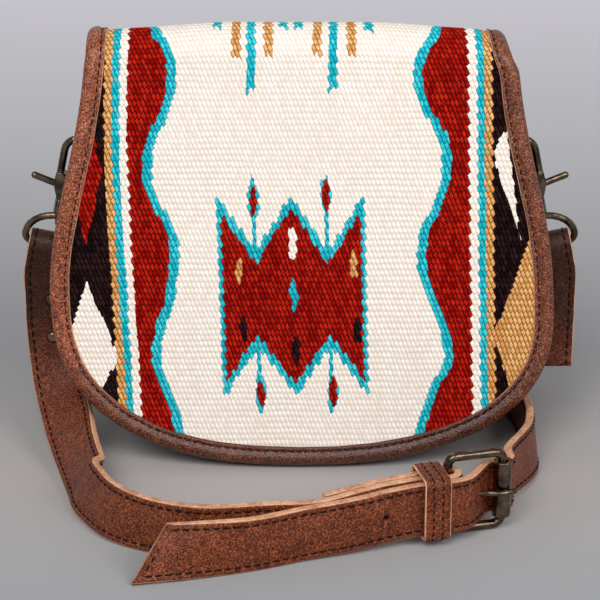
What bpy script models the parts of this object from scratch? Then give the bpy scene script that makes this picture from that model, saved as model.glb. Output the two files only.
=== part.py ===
"""Crossbody bag with a woven front flap, leather body, two swivel snap hooks and a buckled strap.

Metres, +Z up, +X to the bag's right as seen from the front, -Y to the front.
The origin is the centre of the flat underside, where the gusset rests on the floor.
"""

import math

import bmesh
import bpy
from mathutils import Matrix, Vector

MM = 0.001
FIT = 0.3 * MM  # clearance between pieces that touch

# Bag body
BODY_HALF_W = 98.5 * MM
MOUTH_Z = 186.0 * MM
BACK_TOP_Z = MOUTH_Z + 6.0 * MM
BASE_FRONT_Y = -36.0 * MM
BASE_BACK_Y = 36.0 * MM
TOP_FRONT_Y = -11.0 * MM
TOP_BACK_Y = 12.6 * MM
PANEL_T = 2.0 * MM
GUSSET_T = 1.8 * MM
GUSSET_FOLD = 4.0 * MM  # how far the gusset is pressed in beside each snap hook
GUSSET_FOLD_FROM_Z = 70.0 * MM
GUSSET_FOLD_FULL_Z = 120.0 * MM
GUSSET_FOLD_END_Z = 158.0 * MM
GUSSET_EDGE = 3.4 * MM  # stays flat beside each panel

# Flap
FLAP_HALF_W = 120.0 * MM
FLAP_T = 3.4 * MM
FLAP_GAP = 4.2 * MM  # room between front panel and flap for the magnetic snap
FLAP_LIFT = 1.6 * MM
FOLD_R = 16.0 * MM  # outer radius over the mouth
FOLD_TOP_Z = BACK_TOP_Z + 4.5 * MM + FOLD_R
BACK_STRIP_H = 24.0 * MM
BINDING_W = 9.3 * MM
BINDING_T = 1.1 * MM
BINDING_OVER_EDGE = 1.5 * MM

# Magnetic snap
SNAP_R = 9.0 * MM
SNAP_T = 1.1 * MM
SNAP_Z = 62.0 * MM

# Strap
STRAP_W = 26.0 * MM
STRAP_T = 4.0 * MM
PLY_GAP = 0.4 * MM  # between the layers of a doubled strap
FOLD_TAPER = 14.0 * MM
STRAP_STEP = 6.0 * MM  # between the sections of a strap's curve
SHORT_FOLD_L = 62.0 * MM
LONG_FOLD_L = 63.0 * MM
TIP_SLANT = 8.7 * MM
RIVET_R = 3.1 * MM
RIVET_HEAD_T = 1.0 * MM
RIVET_SHANK_R = 1.5 * MM
LEFT_RIVET_DROPS = (27.0 * MM, 47.0 * MM)
RIGHT_RIVET_DROPS = (18.5 * MM, 38.5 * MM)
HOLE_R = 1.3 * MM
HOLE_PITCH = 26.0 * MM

# Hooks
ROD_R = 1.9 * MM
BARREL = Vector((BODY_HALF_W + 17.0 * MM, 0.0, BACK_TOP_Z - 71.0 * MM))
HOOK_TILT = math.radians(12.0)
BARREL_R = 4.2 * MM
CLAW_R = 6.7 * MM  # to the rod's centre line
CLAW_X = -2.7 * MM
CLAW_TOP_Z = 28.5 * MM
CLAW_ROOT_Z = 14.5 * MM
BODY_T = 7.0 * MM
GATE_T = 3.4 * MM
GATE_TIP_GAP = 0.8 * MM  # lets the tip swing past the claw
GATE_PIN_R = 0.9 * MM
GATE_PIVOT = Vector((-7.0, 0.0, 11.5)) * MM
LEVER_ROOT = Vector((5.6, 0.0, 10.8)) * MM
LEVER_TIP = Vector((16.0, 0.0, 12.8)) * MM
STEM_R = 1.5 * MM
EYE_R = 15.6 * MM
EYE_ROD_R = 1.8 * MM
EYE_TOP = -5.6 * MM
EYE_CORNER_R = 4.0 * MM

# D-rings and their tabs
RING_ROD_R = 1.6 * MM
RING_HALF_W = 10.4 * MM
RING_DROP = 13.5 * MM
TAB_W = 16.0 * MM
TAB_T = 1.6 * MM
TAB_TOP_RISE = 22.0 * MM
RING_PLAY = 0.6 * MM  # between the ring and the claw it hangs in

# Buckle
BUCKLE_AT = Vector((BODY_HALF_W - 18.3 * MM, -108.4 * MM, 20.9 * MM))
BUCKLE_TURN = math.radians(15.0)
BUCKLE_L = 26.6 * MM  # heel bar to roller, centre to centre
BUCKLE_HALF_H = 18.3 * MM  # to the rod's centre line
HEEL_CORNER = 3.8 * MM
STRAP_SINK = 1.4 * MM  # the strap rests low in the buckle
BUCKLE_ROD_R = 2.2 * MM
ROLLER_R = 4.3 * MM
ROLLER_L = 27.6 * MM
PRONG_R = 1.3 * MM
KEEPER_W = 11.5 * MM
KEEPER_T = 1.8 * MM
KEEPER_AT = -8.4 * MM  # along the strap from the heel bar

X = Vector((1.0, 0.0, 0.0))
Y = Vector((0.0, 1.0, 0.0))
Z = Vector((0.0, 0.0, 1.0))

for stale in list(bpy.data.objects):
    bpy.data.objects.remove(stale, do_unlink=True)
bag = bpy.data.collections.new("crossbody_bag")
tools = bpy.data.collections.new("cutters")
bpy.context.scene.collection.children.link(bag)
bpy.context.scene.collection.children.link(tools)


def material(name, colour, roughness, metallic=0.0):
    made = bpy.data.materials.new(name)
    made.use_nodes = True
    shader = made.node_tree.nodes["Principled BSDF"]
    shader.inputs["Base Color"].default_value = (*colour, 1.0)
    shader.inputs["Roughness"].default_value = roughness
    shader.inputs["Metallic"].default_value = metallic
    return made


LEATHER = material("brown_leather", (0.19, 0.075, 0.035), 0.5)
WOOL = material("woven_wool", (0.82, 0.75, 0.65), 0.95)
BRASS = material("antique_brass", (0.10, 0.075, 0.05), 0.35, 1.0)
STEEL = material("plated_steel", (0.45, 0.43, 0.40), 0.3, 1.0)


def part(name, mesh, finish, smooth=True):
    made = bpy.data.objects.new(name, mesh)
    bag.objects.link(made)
    mesh.materials.clear()
    mesh.materials.append(finish)
    if smooth:
        mesh.shade_smooth()
        mesh.set_sharp_from_angle(angle=math.radians(35.0))
    return made


def cutter(name, mesh):
    made = bpy.data.objects.new(name, mesh)
    tools.objects.link(made)
    made.hide_render = True
    made.display_type = "WIRE"
    return made


def boolean(target, other, operation):
    step = target.modifiers.new(f"{operation.lower()} {other.name}", "BOOLEAN")
    step.operation = operation
    step.solver = "EXACT"
    step.object = other


def bevelled(target, width, segments=2, angle=35.0):
    step = target.modifiers.new("rounded edges", "BEVEL")
    step.width = width
    step.segments = segments
    step.limit_method = "ANGLE"
    step.angle_limit = math.radians(angle)


def mesh_from(name, build):
    shape = bmesh.new()
    build(shape)
    bmesh.ops.recalc_face_normals(shape, faces=shape.faces)
    mesh = bpy.data.meshes.new(name)
    shape.to_mesh(mesh)
    shape.free()
    return mesh


def placed(mesh, frame):
    """The mesh moved into the frame. A mirroring frame turns its faces round, so they are turned back."""
    mesh.transform(frame)
    if frame.determinant() < 0:
        mesh.flip_normals()
    return mesh


def mesh_of_curve(curve):
    """The curve made a mesh, with the points where its caps meet its sides welded."""
    guide = bpy.data.objects.new(curve.name, curve)
    tools.objects.link(guide)
    bpy.context.view_layer.update()
    mesh = bpy.data.meshes.new_from_object(guide.evaluated_get(bpy.context.evaluated_depsgraph_get()))
    bpy.data.objects.remove(guide, do_unlink=True)
    bpy.data.curves.remove(curve)
    welded = bmesh.new()
    welded.from_mesh(mesh)
    bmesh.ops.remove_doubles(welded, verts=welded.verts, dist=0.00001)
    bmesh.ops.recalc_face_normals(welded, faces=welded.faces)
    welded.to_mesh(mesh)
    welded.free()
    return mesh


def polyline(curve, points, cyclic):
    line = curve.splines.new("POLY")
    line.points.add(len(points) - 1)
    for dot, place in zip(line.points, points):
        dot.co = (*place, 1.0)
    line.use_cyclic_u = cyclic


def plate(name, outline, depth, frame=Matrix.Identity(4)):
    """A flat outline, drawn in the frame's X and Z, made `depth` thick about its Y = 0."""
    curve = bpy.data.curves.new(name, "CURVE")
    curve.dimensions = "2D"
    curve.fill_mode = "BOTH"
    curve.extrude = depth / 2
    polyline(curve, [(x, z, 0.0) for x, z in outline], True)
    return placed(mesh_of_curve(curve), frame @ Matrix.Rotation(math.radians(90.0), 4, "X"))


def cylinder(name, radius, depth, frame, top_radius=None, sides=24):
    """A cylinder or cone about the frame's Z, centred on its origin."""

    def build(shape):
        bmesh.ops.create_cone(shape, cap_ends=True, segments=sides, radius1=radius,
                              radius2=radius if top_radius is None else top_radius, depth=depth)

    return placed(mesh_from(name, build), frame)


def capsule(name, radius, length, frame):
    """A round-ended bar from the frame's origin along its Z."""

    def build(shape):
        bmesh.ops.create_uvsphere(shape, u_segments=14, v_segments=7, radius=radius)
        bmesh.ops.translate(shape, vec=(0.0, 0.0, length), verts=[v for v in shape.verts if v.co.z > 0.0])

    return placed(mesh_from(name, build), frame)


def box(name, size, frame):
    def build(shape):
        bmesh.ops.create_cube(shape, size=1.0)
        bmesh.ops.scale(shape, vec=size, verts=shape.verts)

    return placed(mesh_from(name, build), frame)


def rod(name, points, radius, frame=Matrix.Identity(4), cyclic=False, facets=2):
    """A round rod along the points, as a closed mesh."""
    curve = bpy.data.curves.new(name, "CURVE")
    curve.dimensions = "3D"
    curve.bevel_depth = radius
    curve.bevel_resolution = facets
    curve.use_fill_caps = not cyclic
    polyline(curve, points, cyclic)
    return placed(mesh_of_curve(curve), frame)


def turned(centre, radius, start, end, steps, across=X, up=Z):
    """Points of an arc in the plane of `across` and `up`, angles in degrees from `across`."""
    angles = [math.radians(start + (end - start) * i / steps) for i in range(steps + 1)]
    return [centre + across * (radius * math.cos(a)) + up * (radius * math.sin(a)) for a in angles]


def spline(stations, step):
    """A smooth curve through the stations, each a tuple of vectors, sampled about every `step`."""
    found = []
    last = len(stations) - 1
    for i in range(last):
        before = stations[max(i - 1, 0)]
        after = stations[min(i + 2, last)]
        here, there = stations[i], stations[i + 1]
        run = max((there[0] - here[0]).length, 1e-9)
        back = max((here[0] - before[0]).length, 1e-9)
        ahead = max((after[0] - there[0]).length, 1e-9)
        count = max(1, round(run / step))
        for k in range(count):
            t = k / count
            sample = []
            for p0, p1, p2, p3 in zip(before, here, there, after):
                slope1 = slope2 = p2 - p1
                if i > 0:
                    slope1 = ((p2 - p1) / run * back + (p1 - p0) / back * run) * (run / (run + back))
                if i + 1 < last:
                    slope2 = ((p3 - p2) / ahead * run + (p2 - p1) / run * ahead) * (run / (run + ahead))
                sample.append((2 * t**3 - 3 * t**2 + 1) * p1 + (t**3 - 2 * t**2 + t) * slope1
                              + (3 * t**2 - 2 * t**3) * p2 + (t**3 - t**2) * slope2)
            found.append(tuple(sample))
    found.append(tuple(stations[-1]))
    return found


def sheet(name, rows, thickness, finish, offset=0.0):
    """A skin over rows of points, made solid."""

    def build(shape):
        grid = [[shape.verts.new(p) for p in row] for row in rows]
        for low, high in zip(grid, grid[1:]):
            for i in range(len(low) - 1):
                shape.faces.new((low[i], low[i + 1], high[i + 1], high[i]))

    made = part(name, mesh_from(name, build), finish)
    step = made.modifiers.new("thickness", "SOLIDIFY")
    step.thickness = thickness
    step.offset = offset
    step.use_even_offset = True
    return made


def pivot(name, place, turn=None, parent=None):
    """An empty on a joint's axis. It carries the pieces that turn with it."""
    made = bpy.data.objects.new(name, None)
    made.empty_display_size = 0.01
    bag.objects.link(made)
    made.matrix_world = Matrix.Translation(place) @ (turn.to_4x4() if turn is not None else Matrix.Identity(4))
    if parent is not None:
        bpy.context.view_layer.update()
        place_world = made.matrix_world.copy()
        made.parent = parent
        made.matrix_parent_inverse = parent.matrix_world.inverted()
        made.matrix_world = place_world
    return made


def carry(parent, *pieces):
    """Hangs finished pieces, built in world space, on an empty without moving them."""
    bpy.context.view_layer.update()
    for piece in pieces:
        piece.parent = parent
        piece.matrix_parent_inverse = parent.matrix_world.inverted()


# Body: two U-shaped panels and a gusset that runs up both sides and along the base


def front_y(z):
    return BASE_FRONT_Y + (TOP_FRONT_Y - BASE_FRONT_Y) * z / BACK_TOP_Z


def back_y(z):
    return BASE_BACK_Y + (TOP_BACK_Y - BASE_BACK_Y) * z / BACK_TOP_Z


def half_outline(shares, half_width, height, top_z):
    """The right half of a bag outline, from the middle of the base to the top edge."""
    stations = [(Vector((x * half_width, 0.0, z * height)),) for x, z in shares]
    line = [Vector((p[0].x, 0.0, max(p[0].z, 0.0))) for p in spline(stations, 9.0 * MM)]
    return line + [Vector((shares[-1][0] * half_width, 0.0, top_z))]


def inset(points, distance):
    """The half outline moved inward. Its first point stays on the centre line."""
    moved = []
    for i, p in enumerate(points):
        before = points[max(i - 1, 0)]
        after = points[min(i + 1, len(points) - 1)]
        run = (after - before).normalized() if i else X
        run = Z if i == len(points) - 1 else run
        moved.append(p + Vector((-run.z, 0.0, run.x)) * distance)
    return moved


def closed_outline(half):
    return [(-p.x, p.z) for p in reversed(half[1:])] + [(p.x, p.z) for p in half]


BODY_SHARES = ((0.0, 0.0), (0.16, 0.0), (0.31, 0.0), (0.53, 0.027), (0.73, 0.083), (0.88, 0.156),
               (0.965, 0.242), (0.995, 0.355), (1.0, 0.51), (1.0, 0.672), (1.0, 0.806), (1.0, 0.925))
body_half = half_outline(BODY_SHARES, BODY_HALF_W, MOUTH_Z, MOUTH_Z)


def body_panel(name, face_y, inward, top_z):
    half = inset(body_half, GUSSET_T + FIT)
    half[-1] = Vector((half[-1].x, 0.0, top_z))
    mesh = plate(name, closed_outline(half), PANEL_T)
    for vertex in mesh.vertices:
        vertex.co.y += face_y(vertex.co.z) + inward * PANEL_T / 2
    return part(name, mesh, LEATHER)


front_panel = body_panel("front_panel", front_y, 1.0, MOUTH_Z)
back_panel = body_panel("back_panel", back_y, -1.0, BACK_TOP_Z)


def smooth_share(low, high, value):
    t = min(max((value - low) / (high - low), 0.0), 1.0)
    return t * t * (3.0 - 2.0 * t)


def gusset_row(p):
    near, far = front_y(p.z), back_y(p.z)
    half_depth = (far - near) / 2
    fold = GUSSET_FOLD * smooth_share(GUSSET_FOLD_FROM_Z, GUSSET_FOLD_FULL_Z, p.z)
    fold *= 1.0 - smooth_share(GUSSET_FOLD_END_Z, GUSSET_FOLD_END_Z + 9.0 * MM, p.z)
    row = []
    flat = GUSSET_EDGE / (far - near)
    for share in (0.0, flat, 0.5, 1.0 - flat, 1.0):
        y = near + (far - near) * share
        from_edge = half_depth - abs(y - (near + far) / 2)
        pinch = fold * max(from_edge - GUSSET_EDGE, 0.0) / (half_depth - GUSSET_EDGE)
        row.append(Vector((p.x - math.copysign(pinch, p.x), y, p.z)))
    return row


gusset_line = [Vector((-p.x, 0.0, p.z)) for p in reversed(body_half[1:])] + body_half
gusset_line = inset([Vector((p.x, 0.0, p.z)) for p in gusset_line], 0.0)
gusset = sheet("gusset", [gusset_row(p) for p in gusset_line], GUSSET_T, LEATHER, offset=-1.0)

# Flap: a slab bent over the mouth, cut to the outline of the front

FLAP_SHARES = ((0.0, 0.0), (0.19, 0.006), (0.41, 0.027), (0.61, 0.072), (0.775, 0.138), (0.895, 0.215),
               (0.965, 0.305), (0.996, 0.40), (0.998, 0.475), (0.975, 0.575), (0.935, 0.675), (0.885, 0.79),
               (0.85, 0.89), (0.82, 1.0))
fold_centre = Vector((0.0, 0.5 * MM, FOLD_TOP_Z - FOLD_R))
FLAP_BACK_Z = BACK_TOP_Z + 1.6 * MM
flap_half = half_outline(FLAP_SHARES, FLAP_HALF_W, FOLD_TOP_Z - FLAP_LIFT - 9.0 * MM, FOLD_TOP_Z + FOLD_R)
flap_half = [p + Z * FLAP_LIFT for p in flap_half]


def flap_profile(out, end_z):
    """The slab's section: from the front hem up, over the fold and down to `end_z` behind.
    It lies `out` outside the flap's outer face, or inside where `out` is negative."""
    radius = FOLD_R + out
    hem_y = front_y(0.0) - FLAP_GAP - FLAP_T - out
    lean = math.degrees(math.atan2(fold_centre.y - radius - hem_y, fold_centre.z))
    front = Vector((0.0, hem_y, 0.0)) - (Y * math.tan(math.radians(lean)) + Z) * (8.0 * MM)
    arc = turned(fold_centre, radius, 180.0 - lean, 0.0, 12, across=Y)
    return [front, *arc, Vector((0.0, fold_centre.y + radius, end_z))]


def bent_slab(name, out, inner, end_z, half_width):
    """The slab between two offsets of the flap's outer face, `half_width` to each side."""
    outer = flap_profile(out, end_z)
    under = flap_profile(inner, end_z)
    turn = Matrix.Rotation(math.radians(90.0), 4, "Z")
    return plate(name, [(p.y, p.z) for p in outer + under[::-1]], 2 * half_width, turn)


def prism(name, outline):
    return cutter(name, plate(name, outline, 6 * FOLD_R, Matrix.Translation((0.0, -FOLD_R, 0.0))))


SLAB_HALF = FLAP_HALF_W + 10.0 * MM
flap_panel = part("flap_panel", bent_slab("flap_panel", 0.0, -FLAP_T, FLAP_BACK_Z, SLAB_HALF), WOOL)
boolean(flap_panel, prism("panel_outline", closed_outline(inset(flap_half, BINDING_OVER_EDGE))), "INTERSECT")

cover = BINDING_T + FIT
binding_mesh = bent_slab("flap_binding", cover, -FLAP_T - cover, FLAP_BACK_Z, SLAB_HALF)
flap_binding = part("flap_binding", binding_mesh, LEATHER)
boolean(flap_binding, prism("binding_outer", closed_outline(flap_half)), "INTERSECT")
boolean(flap_binding, prism("binding_inner", closed_outline(inset(flap_half, BINDING_W))), "DIFFERENCE")
pocket_mesh = bent_slab("binding_pocket", FIT, -FLAP_T - FIT, FLAP_BACK_Z - 5 * MM, SLAB_HALF)
binding_pocket = cutter("binding_pocket", pocket_mesh)
pocket_half = inset(flap_half, BINDING_OVER_EDGE - FIT)
boolean(binding_pocket, prism("pocket_outline", closed_outline(pocket_half)), "INTERSECT")
boolean(flap_binding, binding_pocket, "DIFFERENCE")

strip_top = FLAP_BACK_Z - FIT
strip_outer = fold_centre.y + FOLD_R
strip_lean = (back_y(strip_top - BACK_STRIP_H) - back_y(strip_top)) / BACK_STRIP_H
strip_half = FLAP_SHARES[-1][0] * FLAP_HALF_W - BINDING_OVER_EDGE
strip_low = strip_top - BACK_STRIP_H
strip_outline = [(back_y(strip_top) + FIT, strip_top), (strip_outer, strip_top),
                 (back_y(strip_low) + FIT + 2.6 * MM, strip_low), (back_y(strip_low) + FIT, strip_low)]
strip_mesh = plate("flap_back_strip", strip_outline, 2 * strip_half, Matrix.Rotation(math.radians(90.0), 4, "Z"))
flap_back_strip = part("flap_back_strip", strip_mesh, LEATHER)

# Magnetic snap

def disc_frame(seat, lean, away):
    """On a leaning face: local Z is the face's normal, `away` from the seat."""
    normal = Vector((0.0, -math.cos(lean), math.sin(lean)))
    return Matrix.Translation(seat + normal * away) @ Matrix.Rotation(math.radians(90.0) - lean, 4, "X")


panel_lean = math.atan2(TOP_FRONT_Y - BASE_FRONT_Y, BACK_TOP_Z)
socket_seat = Vector((0.0, front_y(SNAP_Z), SNAP_Z))
socket_frame = disc_frame(socket_seat, panel_lean, FIT + SNAP_T / 2)
snap_socket = part("snap_socket", cylinder("snap_socket", SNAP_R, SNAP_T, socket_frame, sides=28), STEEL)
recess_frame = disc_frame(socket_seat, panel_lean, FIT + SNAP_T)
recess = cutter("socket_recess", cylinder("socket_recess", SNAP_R / 3, SNAP_T, recess_frame))
boolean(snap_socket, recess, "DIFFERENCE")

inner_hem, inner_top = flap_profile(-FLAP_T, FLAP_BACK_Z)[:2]
flap_lean = math.atan2(inner_top.y - inner_hem.y, inner_top.z - inner_hem.z)
stud_seat = inner_hem + (inner_top - inner_hem) * ((SNAP_Z - inner_hem.z) / (inner_top.z - inner_hem.z))
stud_frame = disc_frame(stud_seat, flap_lean, -FIT - SNAP_T / 2)
snap_stud = part("snap_stud", cylinder("snap_stud", SNAP_R, SNAP_T, stud_frame, sides=28), STEEL)

# It folds along its outermost skin, so that nothing is squeezed against the strip as it opens
flap_hinge_at = Vector((0.0, strip_outer + cover, FLAP_BACK_Z - FIT / 2))
flap_hinge = pivot("flap_hinge", flap_hinge_at)
carry(flap_hinge, flap_panel, flap_binding, snap_stud)

# Sides: ring tab, D-ring, snap hook with its gate, and swivel eye

ring_low = Vector((CLAW_X, 0.0, CLAW_TOP_Z + CLAW_R - ROD_R - RING_ROD_R - RING_PLAY))


def hook_frame(side):
    """Local X outward, local Z up the hook's own axis, origin at the swivel barrel."""
    outward = Vector((side * math.cos(HOOK_TILT), 0.0, math.sin(HOOK_TILT)))
    upward = Vector((-side * math.sin(HOOK_TILT), 0.0, math.cos(HOOK_TILT)))
    frame = Matrix((outward, Y, upward)).transposed().to_4x4()
    return Matrix.Translation((side * BARREL.x, BARREL.y, BARREL.z)) @ frame


def rivet(name, place, axis, grip):
    """A two-headed rivet through `grip` of leather, centred on the place."""
    turn = axis.to_track_quat("Z", "Y").to_matrix().to_4x4()
    at = Matrix.Translation(place) @ turn
    made = part(name, cylinder(name, RIVET_SHANK_R, grip + RIVET_HEAD_T, at, sides=12), BRASS)
    for end, (low, high) in (("low", (0.62, 1.0)), ("high", (1.0, 0.62))):
        shift = (grip / 2 + FIT + RIVET_HEAD_T / 2) * (1.0 if end == "high" else -1.0)
        head = cylinder(f"{name}_{end}", RIVET_R * low, RIVET_HEAD_T,
                        at @ Matrix.Translation((0.0, 0.0, shift)), top_radius=RIVET_R * high, sides=16)
        boolean(made, cutter(f"{name}_{end}", head), "UNION")
    hole = cylinder(f"{name}_hole", RIVET_SHANK_R + FIT, grip + 4 * RIVET_HEAD_T, at, sides=12)
    return made, cutter(f"{name}_hole", hole)


def build_side(side, label):
    frame = hook_frame(side)

    # D-ring: its lowest rod hangs in the claw, its straight bar in the tab
    low = frame @ ring_low
    tab_low = TAB_T + RING_ROD_R + FIT
    bar_x = side * (BODY_HALF_W + FIT + tab_low)
    bar = Vector((bar_x, 0.0, low.z + RING_DROP))
    down = (low - bar).normalized()
    drop = (low - bar).length
    corner = 3.0 * MM
    ring = turned(bar + Y * (RING_HALF_W - corner) + down * corner, corner, 90.0, 0.0, 4, across=Y, up=-down)
    bow = RING_HALF_W - 2.0 * MM
    for i in range(9):
        a = math.radians(180.0 * i / 8)
        ring.append(bar + Y * (RING_HALF_W * math.cos(a)) + down * (drop - bow + bow * math.sin(a)))
    ring += turned(bar - Y * (RING_HALF_W - corner) + down * corner, corner, 180.0, 90.0, 4, across=Y, up=-down)
    d_ring = part(f"d_ring_{label}", rod(f"d_ring_{label}", ring, RING_ROD_R, cyclic=True), BRASS)
    ring_pivot = pivot(f"d_ring_{label}_pivot", bar)
    carry(ring_pivot, d_ring)

    # Ring tab: folded leather, stitched to the gusset, closed round the bar
    wall_x = abs(bar_x) - tab_low
    outline = []
    for i in range(15):
        a = math.radians(205.0 + 290.0 * i / 14)
        outline.append((abs(bar_x) + tab_low * math.cos(a), bar.z + tab_low * math.sin(a)))
    top = bar.z + TAB_TOP_RISE
    outline = [(x, z) for x, z in outline if z <= bar.z + tab_low * 0.98]
    outline += [(wall_x + 2 * TAB_T + 0.6 * MM, bar.z + 6 * MM), (wall_x + 2 * TAB_T, top), (wall_x, top)]
    outline = [(side * x, z) for x, z in outline]
    tab = part(f"ring_tab_{label}", plate(f"ring_tab_{label}", outline, TAB_W), LEATHER)
    bore_frame = Matrix.Translation(bar) @ Matrix.Rotation(math.radians(90.0), 4, "X")
    bore = cylinder(f"ring_bore_{label}", RING_ROD_R + FIT, 2 * TAB_W, bore_frame, sides=20)
    boolean(tab, cutter(f"ring_bore_{label}", bore), "DIFFERENCE")

    # Snap hook: claw, forked body and barrel, made as one casting
    spine_x = CLAW_X + CLAW_R
    gate_x = CLAW_X - CLAW_R
    claw = [Vector((spine_x, 0.0, CLAW_ROOT_Z))]
    claw += turned(Vector((CLAW_X, 0.0, CLAW_TOP_Z)), CLAW_R, 0.0, 180.0, 12)
    claw += [Vector((gate_x, 0.0, CLAW_TOP_Z - 3.0 * MM))]
    gate_tip_z = CLAW_TOP_Z - 3.0 * MM - GATE_TIP_GAP
    hook = part(f"hook_{label}", rod(f"hook_{label}", claw, ROD_R, frame, facets=3), BRASS)
    waist = BARREL_R - 0.6 * MM
    cheek = 3.4 * MM
    pivot_x, pivot_z = GATE_PIVOT.x, GATE_PIVOT.z
    shoulder = [(-waist, -3.0 * MM), (waist, -3.0 * MM), (waist, 4.0 * MM), (5.4 * MM, 8.6 * MM),
                (spine_x + 2.2 * MM, 11.5 * MM), (spine_x + 2.0 * MM, CLAW_ROOT_Z + 3 * MM),
                (spine_x - 1.8 * MM, CLAW_ROOT_Z + 3 * MM), (pivot_x + cheek, pivot_z + cheek),
                (pivot_x - 1.2 * MM, pivot_z + cheek), (pivot_x - cheek, pivot_z + 1.4 * MM),
                (pivot_x - cheek, pivot_z - 2.4 * MM), (-5.4 * MM, 5.8 * MM), (-waist, 3.0 * MM)]
    body = cutter(f"hook_body_{label}", plate(f"hook_body_{label}", shoulder, BODY_T, frame))
    bevelled(body, 0.7 * MM, 2)
    barrel = cutter(f"hook_barrel_{label}", cylinder(f"hook_barrel_{label}", BARREL_R, 7.0 * MM, frame))
    swing_room = [(gate_x - 4 * MM, pivot_z - cheek), (pivot_x + 2.6 * MM, pivot_z - cheek), (2 * MM, 5.6 * MM),
                  (4 * MM, 4.6 * MM), (11 * MM, 4.6 * MM), (11 * MM, 13.3 * MM), (0.8 * MM, 13.3 * MM),
                  (0.8 * MM, CLAW_TOP_Z - 6 * MM), (gate_x - 4 * MM, CLAW_TOP_Z - 6 * MM)]
    slot_mesh = plate(f"gate_slot_{label}", swing_room, GATE_T + 2 * FIT, frame)
    window_at = frame @ Matrix.Translation((0.0, 0.0, 1.95 * MM))
    window_mesh = box(f"stem_window_{label}", (5.2 * MM, 20 * MM, 3.3 * MM), window_at)
    bore_at = frame @ Matrix.Translation((0.0, 0.0, -3.0 * MM))
    bore_mesh = cylinder(f"stem_bore_{label}", STEM_R + FIT, 8 * MM, bore_at, sides=16)
    pin_turn = Matrix.Rotation(math.radians(90.0), 4, "X")
    pin_frame = frame @ Matrix.Translation(GATE_PIVOT) @ pin_turn
    pin_bore_mesh = cylinder(f"pin_bore_{label}", GATE_PIN_R + FIT, 20 * MM, pin_frame, sides=16)
    boolean(hook, body, "UNION")
    boolean(hook, barrel, "UNION")
    for name, mesh in (("slot", slot_mesh), ("window", window_mesh), ("bore", bore_mesh)):
        boolean(hook, cutter(f"hook_{name}_{label}", mesh), "DIFFERENCE")
    pin_bore = cutter(f"pin_bore_{label}", pin_bore_mesh)
    boolean(hook, pin_bore, "DIFFERENCE")
    pin_mesh = cylinder(f"gate_pin_{label}", GATE_PIN_R, BODY_T + 0.4 * MM, pin_frame, sides=16)
    pin = part(f"gate_pin_{label}", pin_mesh, STEEL)

    # Gate: the bar that closes the claw, hinged on the bag's side of it, and its thumb lever, one piece
    bar_line = [GATE_PIVOT, Vector((gate_x, 0.0, pivot_z + cheek)), Vector((gate_x, 0.0, gate_tip_z))]
    gate = part(f"hook_gate_{label}", rod(f"hook_gate_{label}", bar_line, GATE_T / 2, frame, facets=3), BRASS)
    arm_mesh = rod(f"gate_arm_{label}", [GATE_PIVOT, LEVER_ROOT], GATE_T / 2 * 0.98, frame, facets=3)
    thumb = LEVER_TIP - LEVER_ROOT
    thumb_frame = frame @ Matrix.Translation(LEVER_ROOT) @ thumb.to_track_quat("Z", "Y").to_matrix().to_4x4()
    thumb_mesh = capsule(f"gate_thumb_{label}", GATE_T / 2 * 1.04, thumb.length, thumb_frame)
    knuckle_mesh = cylinder(f"gate_knuckle_{label}", 2.7 * MM, GATE_T - 0.4 * MM, pin_frame, sides=20)
    for name, mesh in (("arm", arm_mesh), ("thumb", thumb_mesh), ("knuckle", knuckle_mesh)):
        boolean(gate, cutter(f"gate_{name}_{label}", mesh), "UNION")
    boolean(gate, pin_bore, "DIFFERENCE")

    # Swivel eye: bowed rod, boss and riveted stem
    bar_z = EYE_TOP - EYE_R
    low_corner = Vector((EYE_R - EYE_CORNER_R, 0.0, bar_z + EYE_CORNER_R))
    loop = turned(low_corner, EYE_CORNER_R, -90.0, 0.0, 4)
    shoulder_z = bar_z + EYE_CORNER_R
    for i in range(1, 14):
        a = math.radians(180.0 * i / 14)
        loop.append(Vector((EYE_R * math.cos(a), 0.0, shoulder_z + (EYE_TOP - shoulder_z) * math.sin(a))))
    loop += turned(Vector((-low_corner.x, 0.0, low_corner.z)), EYE_CORNER_R, 180.0, 270.0, 4)
    swivel = part(f"swivel_eye_{label}", rod(f"swivel_eye_{label}", loop, EYE_ROD_R, frame, cyclic=True), BRASS)
    boss = cylinder(f"eye_boss_{label}", 2.2 * MM, 6.6 * MM, frame @ Matrix.Translation((0, 0, -6.9 * MM)),
                    top_radius=3.4 * MM, sides=20)
    stem = cylinder(f"eye_stem_{label}", STEM_R, 8.0 * MM, frame @ Matrix.Translation((0, 0, -2.6 * MM)), sides=16)
    head = cylinder(f"eye_head_{label}", 2.2 * MM, 1.8 * MM, frame @ Matrix.Translation((0, 0, 1.6 * MM)), sides=16)
    for name, mesh in (("boss", boss), ("stem", stem), ("head", head)):
        boolean(swivel, cutter(f"eye_{name}_{label}", mesh), "UNION")

    upward = frame.col[2].to_3d()
    axis_turn = Matrix((upward.cross(Y) * -1.0, Y, upward)).transposed()
    swing = pivot(f"hook_{label}_swivel", frame.translation, axis_turn)
    carry(swing, hook, pin)
    gate_pivot = pivot(f"hook_gate_{label}_pivot", frame @ GATE_PIVOT, axis_turn, swing)
    carry(gate_pivot, gate)
    return frame @ Vector((0.0, 0.0, bar_z)), frame


left_bar, left_frame = build_side(-1.0, "left")
right_bar, right_frame = build_side(1.0, "right")

# Strap: two lengths of two-ply leather, each folded round a bar and riveted

LAYER = (STRAP_T + PLY_GAP) / 2  # from the middle of a doubled strap to each layer's centre line
EYE_FOLD_R = EYE_ROD_R + 3 * FIT + STRAP_T / 2
HEEL_FOLD_R = BUCKLE_ROD_R + 2 * FIT + STRAP_T / 2


def at(x, y, z):
    return Vector((x, y, z)) * MM


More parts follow.
